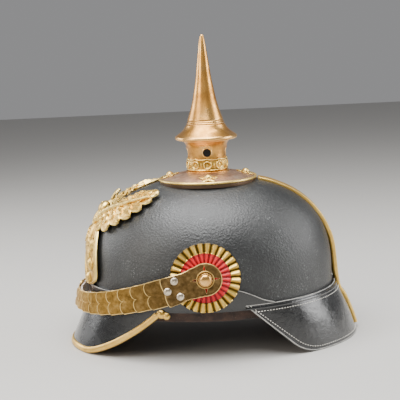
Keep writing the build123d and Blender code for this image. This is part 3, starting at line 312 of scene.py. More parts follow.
def lacquered_leather(name, scratch, wrinkle):
    """Black lacquer over leather. Fine cracks run where a stretched cell pattern's cells meet."""
    material, shader, place = start_material(name, Roughness=0.22, Coat_Weight=0.7, Coat_Roughness=0.18)
    bloom = noise(material, place, 24.0, 6.0)
    base = ramp(material, bloom, [(0.35, "#070808"), (0.6, "#101112"), (0.85, "#313434")])
    rub = stretch(material, noise(material, place, 3.0, 6.0, 0.75), 0.6, 0.72)
    base = mix(material, rub, base, scratch)
    link(material, base, shader.inputs["Base Color"])
    link(material, stretch(material, bloom, 0.35, 0.8, 0.16, 0.42), shader.inputs["Roughness"])
    settings = {"feature": "DISTANCE_TO_EDGE", "Scale": 1 / (5 * MILLIMETRE)}
    cells = add_node(material, "ShaderNodeTexVoronoi", settings, {"Vector": place})
    cracks = stretch(material, cells.outputs["Distance"], 0.0, 0.06)
    fine = bump(material, cracks, 0.05, 0.5)
    wrinkles = bump(material, noise(material, place, 5.0, 3.0), wrinkle, 0.6, fine)
    waves = bump(material, noise(material, place, 14.0, 2.0), 1.2, 0.5, wrinkles)
    link(material, waves, shader.inputs["Normal"])
    return material


def worn_leather(name, dark, light, speck, rough=0.8, depth=0.25):
    """Bare or suede leather: two tones of dye in soft patches, with darker or paler specks."""
    material, shader, place = start_material(name, Roughness=rough, Sheen_Weight=0.25, Sheen_Roughness=0.5)
    patches = noise(material, place, 9.0, 6.0)
    base = ramp(material, patches, [(0.35, dark), (0.7, light)])
    spots = stretch(material, noise(material, place, 1.4, 4.0), 0.6, 0.75)
    base = mix(material, spots, base, speck)
    link(material, base, shader.inputs["Base Color"])
    link(material, bump(material, noise(material, place, 0.8, 5.0, 0.75), depth), shader.inputs["Normal"])
    return material


# Suede drinks the light, bare leather is matt and mottled, and waxed thread is paler than both.
skull_leather = blackened_leather()
front_lacquer = lacquered_leather("lacquered_leather", "#3a3d3c", 0.15)
rear_lacquer = lacquered_leather("crazed_lacquered_leather", "#232525", 0.8)
suede = worn_leather("brown_suede", "#1f140f", "#4b3427", "#6d5443")
strap_leather = worn_leather("pale_strap_leather", "#cbb9b0", "#eadbd3", "#5a463e", 0.75)
lining_leather = worn_leather("brown_lining_leather", "#3a281d", "#5a4332", "#2a1c14")
edge_leather = worn_leather("rubbed_leather_edge", "#6f6e6a", "#a5a29b", "#4a4845", 0.6, 0.1)
thread = worn_leather("waxed_linen_thread", "#b5b1a6", "#d8d4ca", "#8c887e", 0.7, 0.1)

# %% [markdown]
# Gilding, polished brass and old brass are the same metal at different ages. Brass darkens first in
# its hollows, where no cloth reaches. Each finish therefore takes a dark tone where the surface is
# hollow and a bright one where it is rubbed, by Geometry's pointiness, and is rougher where dark.

# %% Metals


def old_metal(name, dark, middle, bright, rough=(0.24, 0.5), patch=7.0):
    """A metal whose tone follows large patches of tarnish, and whose edges are rubbed bright."""
    material, shader, place = start_material(name, Metallic=1.0, Roughness=0.3)
    tarnish = noise(material, place, patch, 6.0, 0.62)
    base = ramp(material, tarnish, [(0.3, dark), (0.5, middle), (0.72, bright)])
    edge = add_node(material, "ShaderNodeNewGeometry").outputs["Pointiness"]
    rubbed = stretch(material, edge, 0.5, 0.56)
    base = mix(material, rubbed, base, bright)
    hollow = stretch(material, edge, 0.5, 0.44)
    base = mix(material, hollow, base, dark)
    link(material, base, shader.inputs["Base Color"])
    link(material, stretch(material, tarnish, 0.3, 0.75, rough[1], rough[0]), shader.inputs["Roughness"])
    link(material, bump(material, noise(material, place, 0.7, 4.0), 0.02), shader.inputs["Normal"])
    return material


# Polished brass is warm and even. Fire gilding is yellower, with brown in its hollows. Brass that no
# cloth reaches goes brown, and rivets that thumbs rub all day turn pale. The nearly black brass is
# painted shade: it colours the base plate's wall under its bead, where the bead's shadow falls.
spike_brass = old_metal("polished_warm_brass", "#9a6427", "#d49a4c", "#f2c27a", (0.22, 0.38), 16.0)
gilt = old_metal("fire_gilding", "#7d5a1c", "#d6a94f", "#f8da86", (0.28, 0.48), 5.0)
trim_gilt = old_metal("rubbed_gilding", "#a07528", "#d9a94a", "#f3cf78", (0.32, 0.46), 12.0)
base_brass = old_metal("coppery_old_brass", "#7a5a44", "#b6947c", "#e6ccb2", (0.34, 0.55), 9.0)
# Nearly black brass for the base's wall: painted shade under the bead, not tarnish.
painted_shade_brass = old_metal("painted_shade_under_bead", "#1e1813", "#3a2f26", "#5e4c3d", (0.4, 0.6), 6.0)
pale_brass = old_metal("worn_pale_brass", "#6b5c48", "#b5a58d", "#efe4cf", (0.25, 0.4), 4.0)
strap_brass = old_metal("brown_old_brass", "#5d4522", "#977640", "#c9a869", (0.34, 0.55), 6.0)
hidden_brass = old_metal("dull_brass", "#5d4522", "#977640", "#b9975a")


def scale_brass():
    """A scale's brass: the marks map holds how far forward on the strap a point lies, where the
    brass is rubbed from brown to gold, and how near it is to an edge, where it is creamy."""
    material, shader, place = start_material("scale_brass", Metallic=1.0, Roughness=0.36)
    marks = add_node(material, "ShaderNodeUVMap", {"uv_map": "marks"}).outputs["UV"]
    parts = add_node(material, "ShaderNodeSeparateXYZ", links={"Vector": marks}).outputs
    tarnish = noise(material, place, 5.0, 6.0, 0.65)
    brown = ramp(material, tarnish, [(0.3, "#45341b"), (0.52, "#66502f"), (0.74, "#8a7049")])
    golden = ramp(material, tarnish, [(0.3, "#7d5c20"), (0.52, "#b98e3f"), (0.74, "#dcb766")])
    base = mix(material, parts["X"], brown, golden)
    base = mix(material, stretch(material, parts["Y"], 0.45, 0.7), base, "#e3c27c")
    link(material, base, shader.inputs["Base Color"])
    link(material, stretch(material, tarnish, 0.3, 0.75, 0.5, 0.3), shader.inputs["Roughness"])
    link(material, bump(material, noise(material, place, 0.9, 4.0), 0.03), shader.inputs["Normal"])
    return material


lobed_brass = scale_brass()


def fluted_finish_and_groove_shade(name, low, high, metallic, rough):
    """Flutes: the marks map holds a point's height on its flute. Painted shade makes the groove dark, and the
    top is bright.
    """
    material, shader, place = start_material(name, Metallic=metallic, Roughness=rough)
    marks = add_node(material, "ShaderNodeUVMap", {"uv_map": "marks"}).outputs["UV"]
    height = add_node(material, "ShaderNodeSeparateXYZ", links={"Vector": marks}).outputs["Y"]
    # Dark in the groove by the flute's height: painted shade.
    base = mix(material, stretch(material, height, 0.0, 0.5), low, high)
    tint = stretch(material, noise(material, place, 3.0, 5.0), 0.55, 0.8, 0.0, 0.35)
    base = mix(material, tint, base, low)
    link(material, base, shader.inputs["Base Color"])
    link(material, bump(material, noise(material, place, 0.6, 3.0), 0.02), shader.inputs["Normal"])
    return material


# Thin gilding and enamel paint over stamped flutes. Both take painted shade in the grooves and are clear on
# top.
cockade_gilt = fluted_finish_and_groove_shade("fluted_gilding_and_groove_shade", "#4f3d14", "#dcb95e", 1.0, 0.36)
cockade_red = fluted_finish_and_groove_shade("red_enamel_and_groove_shade", "#8c0d15", "#df1b25", 0.0, 0.45)

# %% [markdown]
# The skull's form is an oval wall that turns into a dome. In a section, the dome follows a
# superellipse: the share of the radius and the share of the rise, each to the power 2.5, add up to
# one. One function gives a point for an angle in plan and a height, grown outwards by some
# thickness, and most of what lies on the skull is placed by it.

# %% The skull's form
# Half-length and half-width of the wall, rise of the dome, height of its start, foot, and power.
LENGTH, WIDTH, RISE, START, RIM, POWER = 105.8, 86.0, 84.5, 57.0, 42.3, 2.5
# The skull's thickness. The band and the liner lie inwards of its outer face by these amounts.
SKULL_WALL = 3.0
BAND_LOW, BAND_TOP, BAND_OUTSIDE, BAND_INSIDE = 33.4, 66.0, -3.2, -5.0
LINER_LOW, LINER_OUTSIDE, LINER_INSIDE = 60.0, -5.9, -6.5
SMALL_STEP = 1e-3


def reach_share(height, grow):
    """Share of the plan radius at a height: one below the dome's start, a superellipse above it."""
    up = np.clip((height - START) / (RISE + grow), 0, 1)
    return (1 - up**POWER) ** (1 / POWER)


def on_skull(angle, height, grow=0.0):
    """A point of the grown form. The angle is 0 at the front and positive on the wearer's left."""
    share = reach_share(height, grow)
    x = -(LENGTH + grow) * share * np.cos(angle)
    y = -(WIDTH + grow) * share * np.sin(angle)
    return stack(x, y, height)


def skull_normal(angle, height):
    """Outward direction: across two small steps, one in angle and one in height."""
    a = on_skull(angle + SMALL_STEP, height) - on_skull(angle - SMALL_STEP, height)
    b = on_skull(angle, height + SMALL_STEP) - on_skull(angle, height - SMALL_STEP)
    out = unit(np.cross(a, b))
    facing = np.sign((out * on_skull(angle, height) * np.array([1, 1, 0])).sum(-1, keepdims=True))
    return out * np.where(facing == 0, 1, facing)


def dome_rows(low, grow, top_share):
    """Heights from the wall's foot over the shoulder: even steps of the turn that makes the curve."""
    wall = np.linspace(low, START, 5)[:-1]
    turn = np.linspace(0, np.arccos(top_share ** (POWER / 2)), 44)
    return np.concatenate([wall, START + (RISE + grow) * np.sin(turn) ** (2 / POWER)])


def dome_grid(low, grow, top_share=0.15):
    """The dome as a grid: its rows are heights, and its columns are angles."""
    return on_skull(once_round(160)[None, :], dome_rows(low, grow, top_share)[:, None], grow)


skull_grid = closed_shell(dome_grid(RIM, 0.0), dome_grid(RIM, -SKULL_WALL, 0.16))
skull_piece = make_piece("skull_shell", [(skull_grid, True, True)], "helmet", skull_leather)
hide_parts("skull")
band_turn, band_height = once_round(160)[None, :], np.linspace(BAND_LOW, BAND_TOP, 24)[:, None]
band_grid = closed_shell(
    on_skull(band_turn, band_height, BAND_OUTSIDE), on_skull(band_turn, band_height, BAND_INSIDE)
)
band_piece = make_piece("suede_sweatband", [(band_grid, True, True)], "helmet", suede)
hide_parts("sweatband")
liner_grid = closed_shell(
    dome_grid(LINER_LOW, LINER_OUTSIDE, 0.17), dome_grid(LINER_LOW, LINER_INSIDE, 0.175)
)
liner_piece = make_piece("leather_liner", [(liner_grid, True, True)], "helmet", lining_leather)
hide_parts("head_liner")
print("skull faces", len(skull_piece.data.polygons))

# %% [markdown]
# The front visor is a strip of a cone, which widens downwards, sewn to a flange that lies on the
# skull. The cone's half-length falls in a straight line with height, its lower edge lifts towards
# the ends as a power of the angle, and the flange's top edge is a smooth line through points.

# %% Front visor
# Half-length at the foot, height of the seam, the leather's thickness, and the spread of the sides.
FRONT_REACH, FRONT_SEAM, LEATHER, SPREAD = 128.3, 44.0, 2.4, 1.5
# Angles at which the channel and the free edge end, then the edge's flat part, its turn and its power.
TRIM_END = math.radians(64.5)
EDGE_END = math.radians(68.0)
EDGE_FLAT, EDGE_TURN, EDGE_POWER = 27.0, 41.0, 1.77
# Where the flange's tail ends behind the middle, and how far inwards each sheet's faces lie.
TAIL_END = 51.0
SHEET_INSIDE = -LEATHER + 0.05
LINING_OUTSIDE, LINING_INSIDE = -2.45, -3.25


def front_radii(height):
    """Half-length and half-width of the visor's outer face: straight lines of the height."""
    share = 1 - height / FRONT_SEAM
    length = LENGTH + LEATHER + (FRONT_REACH - LENGTH - LEATHER) * share
    return length, WIDTH + LEATHER + SPREAD * share


def front_edge(angle):
    """Height of the lower edge: flat in front, then a power of the angle."""
    share = np.maximum(0, (np.abs(np.degrees(angle)) - EDGE_FLAT) / EDGE_TURN)
    return FRONT_SEAM * share**EDGE_POWER


def on_front(angle, height, grow=0.0):
    """A point of the visor: on the cone below the seam, and on the skull's grown form above it."""
    length, width = front_radii(np.minimum(height, FRONT_SEAM))
    share = np.where(height > FRONT_SEAM, reach_share(height, LEATHER + grow), 1.0)
    x = -(length + grow) * share * np.cos(angle)
    y = -(width + grow) * share * np.sin(angle)
    return stack(x, y, height)


def flange_top(angle):
    """Height of the flange's upper edge, read by x from a line through its points."""
    points = [(-125, 54.6), (-105.8, 55), (-84.4, 55.7), (-63.2, 57.7), (-42, 60.6), (-20.7, 62.9)]
    points += [(-10, 63.2), (0.7, 62.7), (11.2, 61.3), (21.6, 58.7), (31.4, 54.4), (40.8, 49.5), (51, 46.2)]
    line = smooth_line(points, 160)
    x = -(LENGTH + LEATHER) * np.cos(angle)
    return np.interp(x, line[:, 0], line[:, 1])


def visor_front_grid(grow):
    """The visor and its flange as one grid: rows from the lower edge to the flange's upper edge."""
    tail = math.acos(-TAIL_END / (LENGTH + LEATHER))
    angle = np.linspace(-tail, tail, 180)
    low = np.minimum(np.maximum(front_edge(angle) + 1.1, 0), RIM)
    low = np.where(np.abs(angle) > EDGE_END - 0.02, RIM, low)
    share = np.linspace(0, 1, 22)[:, None]
    lower = low + (FRONT_SEAM - low) * share
    upper = FRONT_SEAM + (flange_top(angle) - FRONT_SEAM) * share[1:14] / share[13]
    heights = np.concatenate([lower, upper], axis=0)
    return on_front(angle[None, :], heights, grow)


visor_grid = closed_shell(visor_front_grid(0.0), visor_front_grid(SHEET_INSIDE))
visor_patches = [(visor_grid, True, False)] + cut_ends(visor_grid)
front_piece = make_piece("front_visor_leather", visor_patches, "helmet", front_lacquer, 30)
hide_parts("front_visor")

angle = np.linspace(-1.15, 1.15, 120)
low = np.minimum(front_edge(angle) + 1.2, RIM - 1.0)
share = np.linspace(0, 1, 16)[:, None]
heights = low + (RIM - 0.3 - low) * share
lining = closed_shell(
    on_front(angle[None, :], heights, LINING_OUTSIDE), on_front(angle[None, :], heights, LINING_INSIDE)
)
lining_piece = make_piece("front_visor_underside", [(lining, True, False)], "helmet", lining_leather)
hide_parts("front_visor_lining")

# %% [markdown]
# The gilt channel grips the visor's edge. It is a rounded strip carried along the edge: at each
# station, a superellipse is drawn in the plane across the edge and swept to the next station. Its
# two ends lie hidden in the clips' lobes, so only the first is closed, by a point.

# %% Channel round the front edge
TRIM_LIFT, TRIM_SINK, TRIM_HALF_WIDTH, TRIM_HALF_HEIGHT, TRIM_POWER = 2.55, -1.6, 2.5, 2.8, 0.75


def edge_frame(angle):
    """Middle point, outward and upward directions across the visor's edge at an angle."""
    height = front_edge(angle) + TRIM_LIFT
    here = on_front(angle, height, TRIM_SINK)
    above = on_front(angle, height + 3.0, TRIM_SINK)
    ahead = on_front(angle + SMALL_STEP, front_edge(angle + SMALL_STEP) + TRIM_LIFT, TRIM_SINK)
    back = on_front(angle - SMALL_STEP, front_edge(angle - SMALL_STEP) + TRIM_LIFT, TRIM_SINK)
    along, up = unit(ahead - back), unit(above - here)
    out = unit(np.cross(up, along))
    out *= np.sign((out * here * np.array([1, 1, 0])).sum(-1, keepdims=True))
    return here, out, unit(np.cross(along, out)) * np.sign(np.cross(along, out)[..., 2:3])


angle = np.linspace(-TRIM_END, TRIM_END, 150)
here, out, up = edge_frame(angle)
turn = once_round(20)
across = rounded(np.cos(turn), TRIM_POWER) * TRIM_HALF_WIDTH
along_up = rounded(np.sin(turn), TRIM_POWER) * TRIM_HALF_HEIGHT
strip = here[:, None] + out[:, None] * across[None, :, None] + up[:, None] * along_up[None, :, None]
strip[..., 2] = np.maximum(strip[..., 2], 0.0)
first = np.repeat(here[:1, None], len(turn), 1)
strip = np.concatenate([first, strip], axis=0)
trim_piece = make_piece("front_visor_channel", [(strip, False, True)], "helmet", trim_gilt, 60)
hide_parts("front_visor_trim")

# %% Clips at the channel's ends


def ball(centre, radii, axes, rows=18, columns=24):
    """An ellipsoid: sine and cosine of a latitude and a longitude, along three directions."""
    lat = np.linspace(-np.pi / 2, np.pi / 2, rows)[:, None]
    lon = once_round(columns)[None, :]
    shape = stack(np.cos(lat) * np.cos(lon), np.cos(lat) * np.sin(lon), np.sin(lat))
    return np.asarray(centre, dtype=float) + (shape * np.asarray(radii, dtype=float)) @ axes


CLIP_HEIGHT, CLIP_SHIFT, CLIP_FALL = 41.2, 3.5, -32.0
# Each lobe: how far back along the edge it lies, how far out, and its three radii.
CLIP_LOBES = [(0.0, 0.7, (4.1, 3.8, 3.4)), (4.8, 0.7, (3.3, 3.1, 2.7)), (2.6, 0.6, (3.4, 2.7, 2.4))]


def clip_patches():
    """Two round lobes on the leather, the first over the channel's end, and a third between them."""
    half_length, half_width = LENGTH + LEATHER, WIDTH + LEATHER
    turn = TRIM_END + CLIP_SHIFT / half_length
    here = np.array([-half_length * math.cos(turn), -half_width * math.sin(turn), CLIP_HEIGHT])
    back = unit(np.array([half_length * math.sin(turn), -half_width * math.cos(turn), CLIP_FALL]))
    out = unit(np.array([-math.cos(turn) / half_length, -math.sin(turn) / half_width, 0.0]))
    out = unit(out - back * (out @ back))
    axes = np.stack([back, np.cross(out, back), out])
    places = [(here + back * along + out * lift, radii) for along, lift, radii in CLIP_LOBES]
    return [(ball(place, radii, axes), False, True) for place, radii in places]


for side in ("left", "right"):
    patches = clip_patches() if side == "left" else mirrored(clip_patches())
    clip = make_piece(f"{side}_channel_clip", patches, "helmet", trim_gilt)
    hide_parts("trim_end_clips")

# %% [markdown]
# The rear visor hangs from a seam, bulges out as it falls, and has a slanted front edge with a
# rounded corner. Each row of its grid is one height, and runs from the edge on one side, round the
# back, to the edge on the other. Rows are closer together where the corner turns.

# %% Rear visor
REAR_REACH, REAR_SEAM = 126.4, 46.0
# The front edge in the side view: where its slant starts and would meet the foot, and its corner.
SLANT_TOP, SLANT_FOOT, CORNER_RADIUS = 25.0, 74.0, 34.0
bulge = np.polyfit([1.0, 0.652, 0.348, 0.0], [0.0, 0.45, 0.757, 1.0], 3)


def rear_radii(height):
    """Half-length and half-width at a height: the bulge is a cubic of the share of the height."""
    share = np.polyval(bulge, height / REAR_SEAM)
    top = LENGTH + LEATHER
    return top + (REAR_REACH - top) * share, WIDTH + LEATHER + SPREAD * share


def rear_edge_line(lift):
    """The edge in side view, (x, z): a slant, then an arc that ends level with the flat foot."""
    start, corner = np.array([SLANT_TOP + lift, REAR_SEAM]), np.array([SLANT_FOOT + lift, lift])
    slant = unit(corner - start)
    cut = CORNER_RADIUS / math.tan(math.acos(-slant[0]) / 2)
    centre = np.array([corner[0] + cut, corner[1] + CORNER_RADIUS])
    first = corner - slant * cut
    begin = math.atan2(first[1] - centre[1], first[0] - centre[0]) % (2 * math.pi)
    arc = np.linspace(begin, 1.5 * math.pi, 45)
    curve = centre + CORNER_RADIUS * stack(np.cos(arc), np.sin(arc))
    straight = start + (first - start) * np.linspace(0, 1, 45, endpoint=False)[:, None]
    return np.concatenate([straight, curve], axis=0)


def on_rear(angle, height, grow=0.0):
    """A point of the rear visor. The angle is 0 at the back and positive on the wearer's left."""
    length, width = rear_radii(height)
    x = (length + grow) * np.cos(angle)
    y = -(width + grow) * np.sin(angle)
    return stack(x, y, height)


def edge_angles(line):
    """The angles at which the rows of an edge line stop: by x over the half-length there."""
    return np.arccos(np.clip(line[:, 0] / rear_radii(line[:, 1])[0], -1, 1))


def rear_grid(grow, lift=0.0, top=REAR_SEAM):
    """The rear visor in one grid, from edge to edge in each row, up to a top height."""
    line = rear_edge_line(lift)
    line = line[line[:, 1] <= top]
    share = np.linspace(-1, 1, 150)
    return on_rear(edge_angles(line)[:, None] * share[None, :], line[:, 1:2], grow)


rear_sheet = closed_shell(rear_grid(0.0), rear_grid(SHEET_INSIDE))
rear_patches = [(rear_sheet, True, False)] + cut_ends(rear_sheet)
rear_piece = make_piece("rear_visor_leather", rear_patches, "helmet", rear_lacquer, 30)
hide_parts("rear_visor")
lining = closed_shell(
    rear_grid(LINING_OUTSIDE, 3.0, RIM - 0.2), rear_grid(LINING_INSIDE, 3.0, RIM - 0.2)
)
lining_piece = make_piece("rear_visor_underside", [(lining, True, False)], "helmet", lining_leather)
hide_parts("rear_visor_lining")

# %% [markdown]
# Pale lines follow the leather's cut edges, and rows of waxed thread follow them a few millimetres
# in. A line is a thin rod along the edge. A stitch is a short rod, repeated at an even spacing along
# the line by its length.

# %% Edge lines and stitches
STITCH_SPACING, STITCH_LENGTH, STITCH_RADIUS = 2.6, 1.7, 0.32
LINE_END = 49.0


def by_length(path, spacing):
    """Points along a path at an even spacing, and the directions there, read a short way ahead."""
    steps = np.linalg.norm(np.diff(path, axis=0), axis=1)
    length = np.concatenate([[0], np.cumsum(steps)])
    wanted = np.arange(spacing / 2, length[-1], spacing)
    points = np.stack([np.interp(wanted, length, path[:, k]) for k in range(3)], -1)
    ahead = np.stack([np.interp(wanted + 0.3, length, path[:, k]) for k in range(3)], -1)
    return points, unit(ahead - points)


def stitches(path):
    """Short rods: each one a ring of six points at five places from end to end, with pointed ends."""
    points, along = by_length(path, STITCH_SPACING)
    side = unit(np.cross(along, np.array([0.0, 0.0, 1.0])))
    other = np.cross(side, along)
    place = (np.array([-0.5, -0.42, 0.0, 0.42, 0.5]) * STITCH_LENGTH)[None, :, None, None]
    size = (np.array([0.0, 0.8, 1.0, 0.8, 0.0]) * STITCH_RADIUS)[None, :, None, None]
    turn = once_round(6)[None, :, None]
    ring = side[:, None] * np.cos(turn) + other[:, None] * np.sin(turn)
    rods = points[:, None, None] + along[:, None, None] * place + ring[:, None] * size
    return [(rod, False, True) for rod in rods]


def rear_edge_path(inset, grow):
    """The rear visor's edge on both sides and round the back, moved in from the cut."""
    line = rear_edge_line(inset)
    limit = edge_angles(line)
    left = on_rear(limit, line[:, 1], grow)
    back = on_rear(np.linspace(limit[-1], -limit[-1], 120)[1:-1], line[-1, 1], grow)
    right = (left * np.array([1, -1, 1]))[::-1]
    return np.concatenate([left, back, right], axis=0)


def rear_seam_path(height, grow, start=SLANT_TOP):
    """A level line round the rear visor, from a place x on one side to the same place on the other."""
    limit = math.acos(start / (LENGTH + LEATHER))
    return on_rear(np.linspace(limit, -limit, 160), height, grow)


def front_top_path(drop, grow, limit):
    """A line a little below the flange's upper edge, round the front as far as an angle each way."""
    angle = np.linspace(-limit, limit, 220)
    return on_front(angle, flange_top(angle) - drop, grow)


tail = math.acos(-LINE_END / (LENGTH + LEATHER))
lines = [
    (tube(rear_edge_path(0.7, 0.0), 0.5), False, True),
    (tube(rear_seam_path(REAR_SEAM - 0.1, -0.3), 0.45), False, True),
    (tube(front_top_path(0.2, -0.2, tail), 0.4), False, True),
]
edge_piece = make_piece("rubbed_edges", lines, "helmet", edge_leather)
rows = stitches(rear_edge_path(3.4, 0.1)) + stitches(rear_seam_path(40.4, 0.1, 31.0))
stitch_piece = make_piece("visor_stitches", rows, "helmet", thread, turn_out=False)
ridge = [(tube(rear_seam_path(REAR_SEAM - 2.4, -0.6), 1.5), False, True)]
ridge_piece = make_piece("rear_seam_ridge", ridge, "helmet", rear_lacquer)
print("stitches", len(rows))

# %% [markdown]
# The gilt bar up the back is a strip with rounded shoulders: a superellipse across it, carried up
# the visor and over the dome. Its hidden inner half is deeper, more so where it lies on the skull.

# %% Rear spine
SPINE_TOP, SPINE_HALF_WIDTH, SPINE_MIDDLE = 43.7, 6.5, 1.3


def rear_line():
    """The back line in side view: the visor's bulge, then the skull, with a smooth join."""
    visor = [(rear_radii(h)[0], h) for h in (5.0, 16.0, 30.0, 42.0)]
    turn = np.array([0.16, 0.32, 0.5, 0.7, 0.9, 1.1])
    x = (LENGTH + LEATHER * np.cos(turn) ** 8) * np.cos(turn) ** 0.8
    z = START + RISE * np.sin(turn) ** 0.8
    top = (SPINE_TOP, START + RISE * (1 - (SPINE_TOP / LENGTH) ** POWER) ** (1 / POWER))
    return smooth_line(visor + list(zip(x, z)) + [top], 90)


line = rear_line()
along = unit(np.gradient(line, axis=0))
out = stack(along[:, 1], -along[:, 0])
turn = once_round(24)
swing = rounded(np.sin(turn), 0.6)
inward = SPINE_MIDDLE + np.interp(line[:, 1:2], [44, 50], [1.5, 2.7])
height = SPINE_MIDDLE + swing * np.where(swing > 0, SPINE_MIDDLE, inward)
across = rounded(np.cos(turn), 0.5) * SPINE_HALF_WIDTH
bar = stack(line[:, 0:1] + out[:, 0:1] * height, across, line[:, 1:2] + out[:, 1:2] * height)
middle = np.repeat(bar.mean(axis=1, keepdims=True), len(turn), 1)
bar = np.concatenate([middle[:1], bar, middle[-1:]], axis=0)
spine_piece = make_piece("rear_spine_bar", [(bar, False, True)], "helmet", trim_gilt, 50)
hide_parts("rear_spine")

# %% [markdown]
# The round parts on top were spun on a lathe, so each is a profile turned about the spike's axis.
# The spike's side is a hollow curve: wide at its flange and nearly straight towards the tip.

# %% Base and neck


def ring_profile(radius, height, half_width, half_height, count):
    """The section of a ring as an oval of (radius, height)."""
    turn = once_round(count)
    return stack(radius + half_width * np.cos(turn), height + half_height * np.sin(turn))


base_profile = smooth_line([(16, 146.4), (19, 146.4), (26, 145.4), (33, 143.6), (40.6, 140.9)], 30)
base_profile = np.concatenate([
    base_profile,
    [(41.2, 141.3), (41.8, 141.2), (42.1, 140.4), (42.0, 139.2), (41.9, 136.6), (40.9, 136.5)],
    [(40.9, 139.8), (33, 142.6), (19, 145.5), (16, 145.5)],
])
# The wall under the bead takes the nearly black brass in slot 1: painted shade below the bead.
wall = revolve([(41.5, 136.6), (42.1, 136.6), (42.25, 137.0), (42.25, 139.5), (41.5, 139.5)])
base_patches = [(revolve(base_profile), True, True, None, 0), (wall, True, True, None, 1)]
base_piece = make_piece("spike_base_plate", base_patches, "helmet", [base_brass, painted_shade_brass], 50)
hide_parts("spike_base")
bead = revolve(ring_profile(41.75, 140.75, 1.25, 1.25, 14))
bead_piece = make_piece("spike_base_bead", [(bead, True, True)], "helmet", gilt)

flare = [(16.4, 147.6), (16.4, 160), (16.7, 164.5), (17.5, 168.4), (18.8, 171.4), (20.6, 173.4)]
flare = smooth_line(flare, 40)
foot = [(15.2, 146.5), (19, 146.5), (19.2, 147.0), (18.6, 147.5)]
lip = [(20.7, 173.8), (20.4, 174.2), (13.6, 174.2), (13.6, 168), (15.2, 168)]
neck_profile = np.concatenate([foot, flare, lip])
neck_grid = revolve(neck_profile, 128)
neck_piece = make_piece("spike_neck_tube", [(neck_grid, True, True)], "helmet", spike_brass, 50)
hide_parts("spike_neck")

# %% [markdown]
# Each vent is a rolled rim round a dark disc, a painted shadow for the hole, which lies just over the tube
# and follows its flare.
# There is a vent at each quarter of the neck.

# %% Vents
VENT_HEIGHT = 164.0
QUARTERS = [math.pi / 2 * quarter for quarter in range(4)]
shadow, shadow_shader = start_material("vent_shadow", Roughness=0.9)[:2]
shadow_shader.inputs["Base Color"].default_value = colour("#0b0807")


def vent_rings(turn, radii, lifts):
    """Rings round a vent: each one's radius in the side view, and how high it stands on the tube."""
    disc = once_round(28)
    radius, lift = np.array(radii)[:, None], np.array(lifts)[:, None]
    side, up = radius * np.cos(disc), radius * np.sin(disc) + VENT_HEIGHT
    depth = np.sqrt((np.interp(up, flare[:, 1], flare[:, 0]) + lift) ** 2 - side**2)
    x = depth * math.cos(turn) - side * math.sin(turn)
    y = depth * math.sin(turn) + side * math.cos(turn)
    return np.stack([x, y, up], -1)


cups, rims = [], []
for turn in QUARTERS:
    cups.append((vent_rings(turn, (0.01, 1.5, 2.6, 3.6), (0.08, 0.08, 0.08, 0.08)), False, True))
    rims.append((vent_rings(turn, (3.4, 3.6, 4.0, 4.4, 4.5), (0.0, 0.3, 0.4, 0.2, -0.1)), False, True))
cup_piece = make_piece("neck_vent_shadows", cups, "helmet", shadow, turn_out=False)
rim_piece = make_piece("neck_vent_rims", rims, "helmet", spike_brass)

# %% Gallery round the neck
GALLERY_LOW, GALLERY_TOP, GALLERY_OUTSIDE, GALLERY_INSIDE = 148.0, 159.4, 17.3, 16.5
RINGS, RING_HEIGHT, RING_RADIUS, RING_CIRCLE = 10, 153.2, 3.1, 17.4


def gallery_grid():
    """A band whose height above the tube is a sum: two beads, and ten rings by their distance from
    the nearest ring's centre, all on a grid of angle and height. Its top is scalloped."""
    angle = once_round(480)[None, :]
    scallop = 1.05 * np.abs(np.cos(angle * RINGS / 2)) ** 0.6
    share = np.linspace(0, 1, 34)[:, None]
    height = GALLERY_LOW + (GALLERY_TOP - scallop - GALLERY_LOW) * share
    step = 2 * np.pi / RINGS
    near = (np.mod(angle, step) - step / 2) * RING_CIRCLE
    distance = np.sqrt(near**2 + (height - RING_HEIGHT) ** 2)
    ring = 1.1 * bell(distance - RING_RADIUS, 0.65) + 0.5 * bell(distance, 1.0)
    beads = 0.8 * bell(height - GALLERY_LOW - 0.9, 0.6) + 0.7 * bell(share - 0.93, 0.05)
    between = 0.6 * bell(np.abs(near) - step * RING_CIRCLE / 2, 0.8) * bell(height - RING_HEIGHT, 1.6)
    radius = GALLERY_OUTSIDE + ring + beads + between
    return stack(radius * np.cos(angle), radius * np.sin(angle), height)


outer = gallery_grid()
inner = outer.copy()
inner[..., 0:2] *= GALLERY_INSIDE / np.linalg.norm(outer[..., 0:2], axis=-1, keepdims=True)
gallery = [(closed_shell(outer, inner), True, True)]
gallery_piece = make_piece("neck_gallery_rings", gallery, "helmet", gilt, 60)
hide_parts("neck_gallery")

# %% Spike
SPIKE_FOOT, SPIKE_TIP, SPIKE_RADIUS, SPIKE_UNDERSIDE = 177.2, 264.5, 27.0, 174.35
GROOVES, GROOVE_WIDTH, GROOVE_DEPTH = (188.0, 189.5, 191.0), 0.42, 0.55
# The side as shares of the flange's radius and of the height from the foot to the tip.
shares = [(0.963, 0.010), (0.767, 0.055), (0.652, 0.102), (0.593, 0.148), (0.489, 0.239), (0.387, 0.352)]
shares += [(0.315, 0.466), (0.248, 0.580), (0.202, 0.692), (0.152, 0.804), (0.102, 0.915), (0.055, 0.985)]
side_line = [(SPIKE_RADIUS * r, SPIKE_FOOT + (SPIKE_TIP - SPIKE_FOOT) * h) for r, h in shares]
side_line = smooth_line(side_line, 170)
side_line[:, 0] -= GROOVE_DEPTH * sum(bell(side_line[:, 1] - h, GROOVE_WIDTH) for h in GROOVES)
tip = [(1.2, 264.0), (0.7, 264.4), (0.0, SPIKE_TIP)]
foot = [(0.0, SPIKE_UNDERSIDE), (13.7, SPIKE_UNDERSIDE), (24.8, SPIKE_UNDERSIDE), (26.2, 174.8)]
foot += [(26.9, 175.6), (27.0, 176.6), (26.7, 177.4)]
spike_grid = revolve(np.concatenate([foot, side_line, tip]), 128)
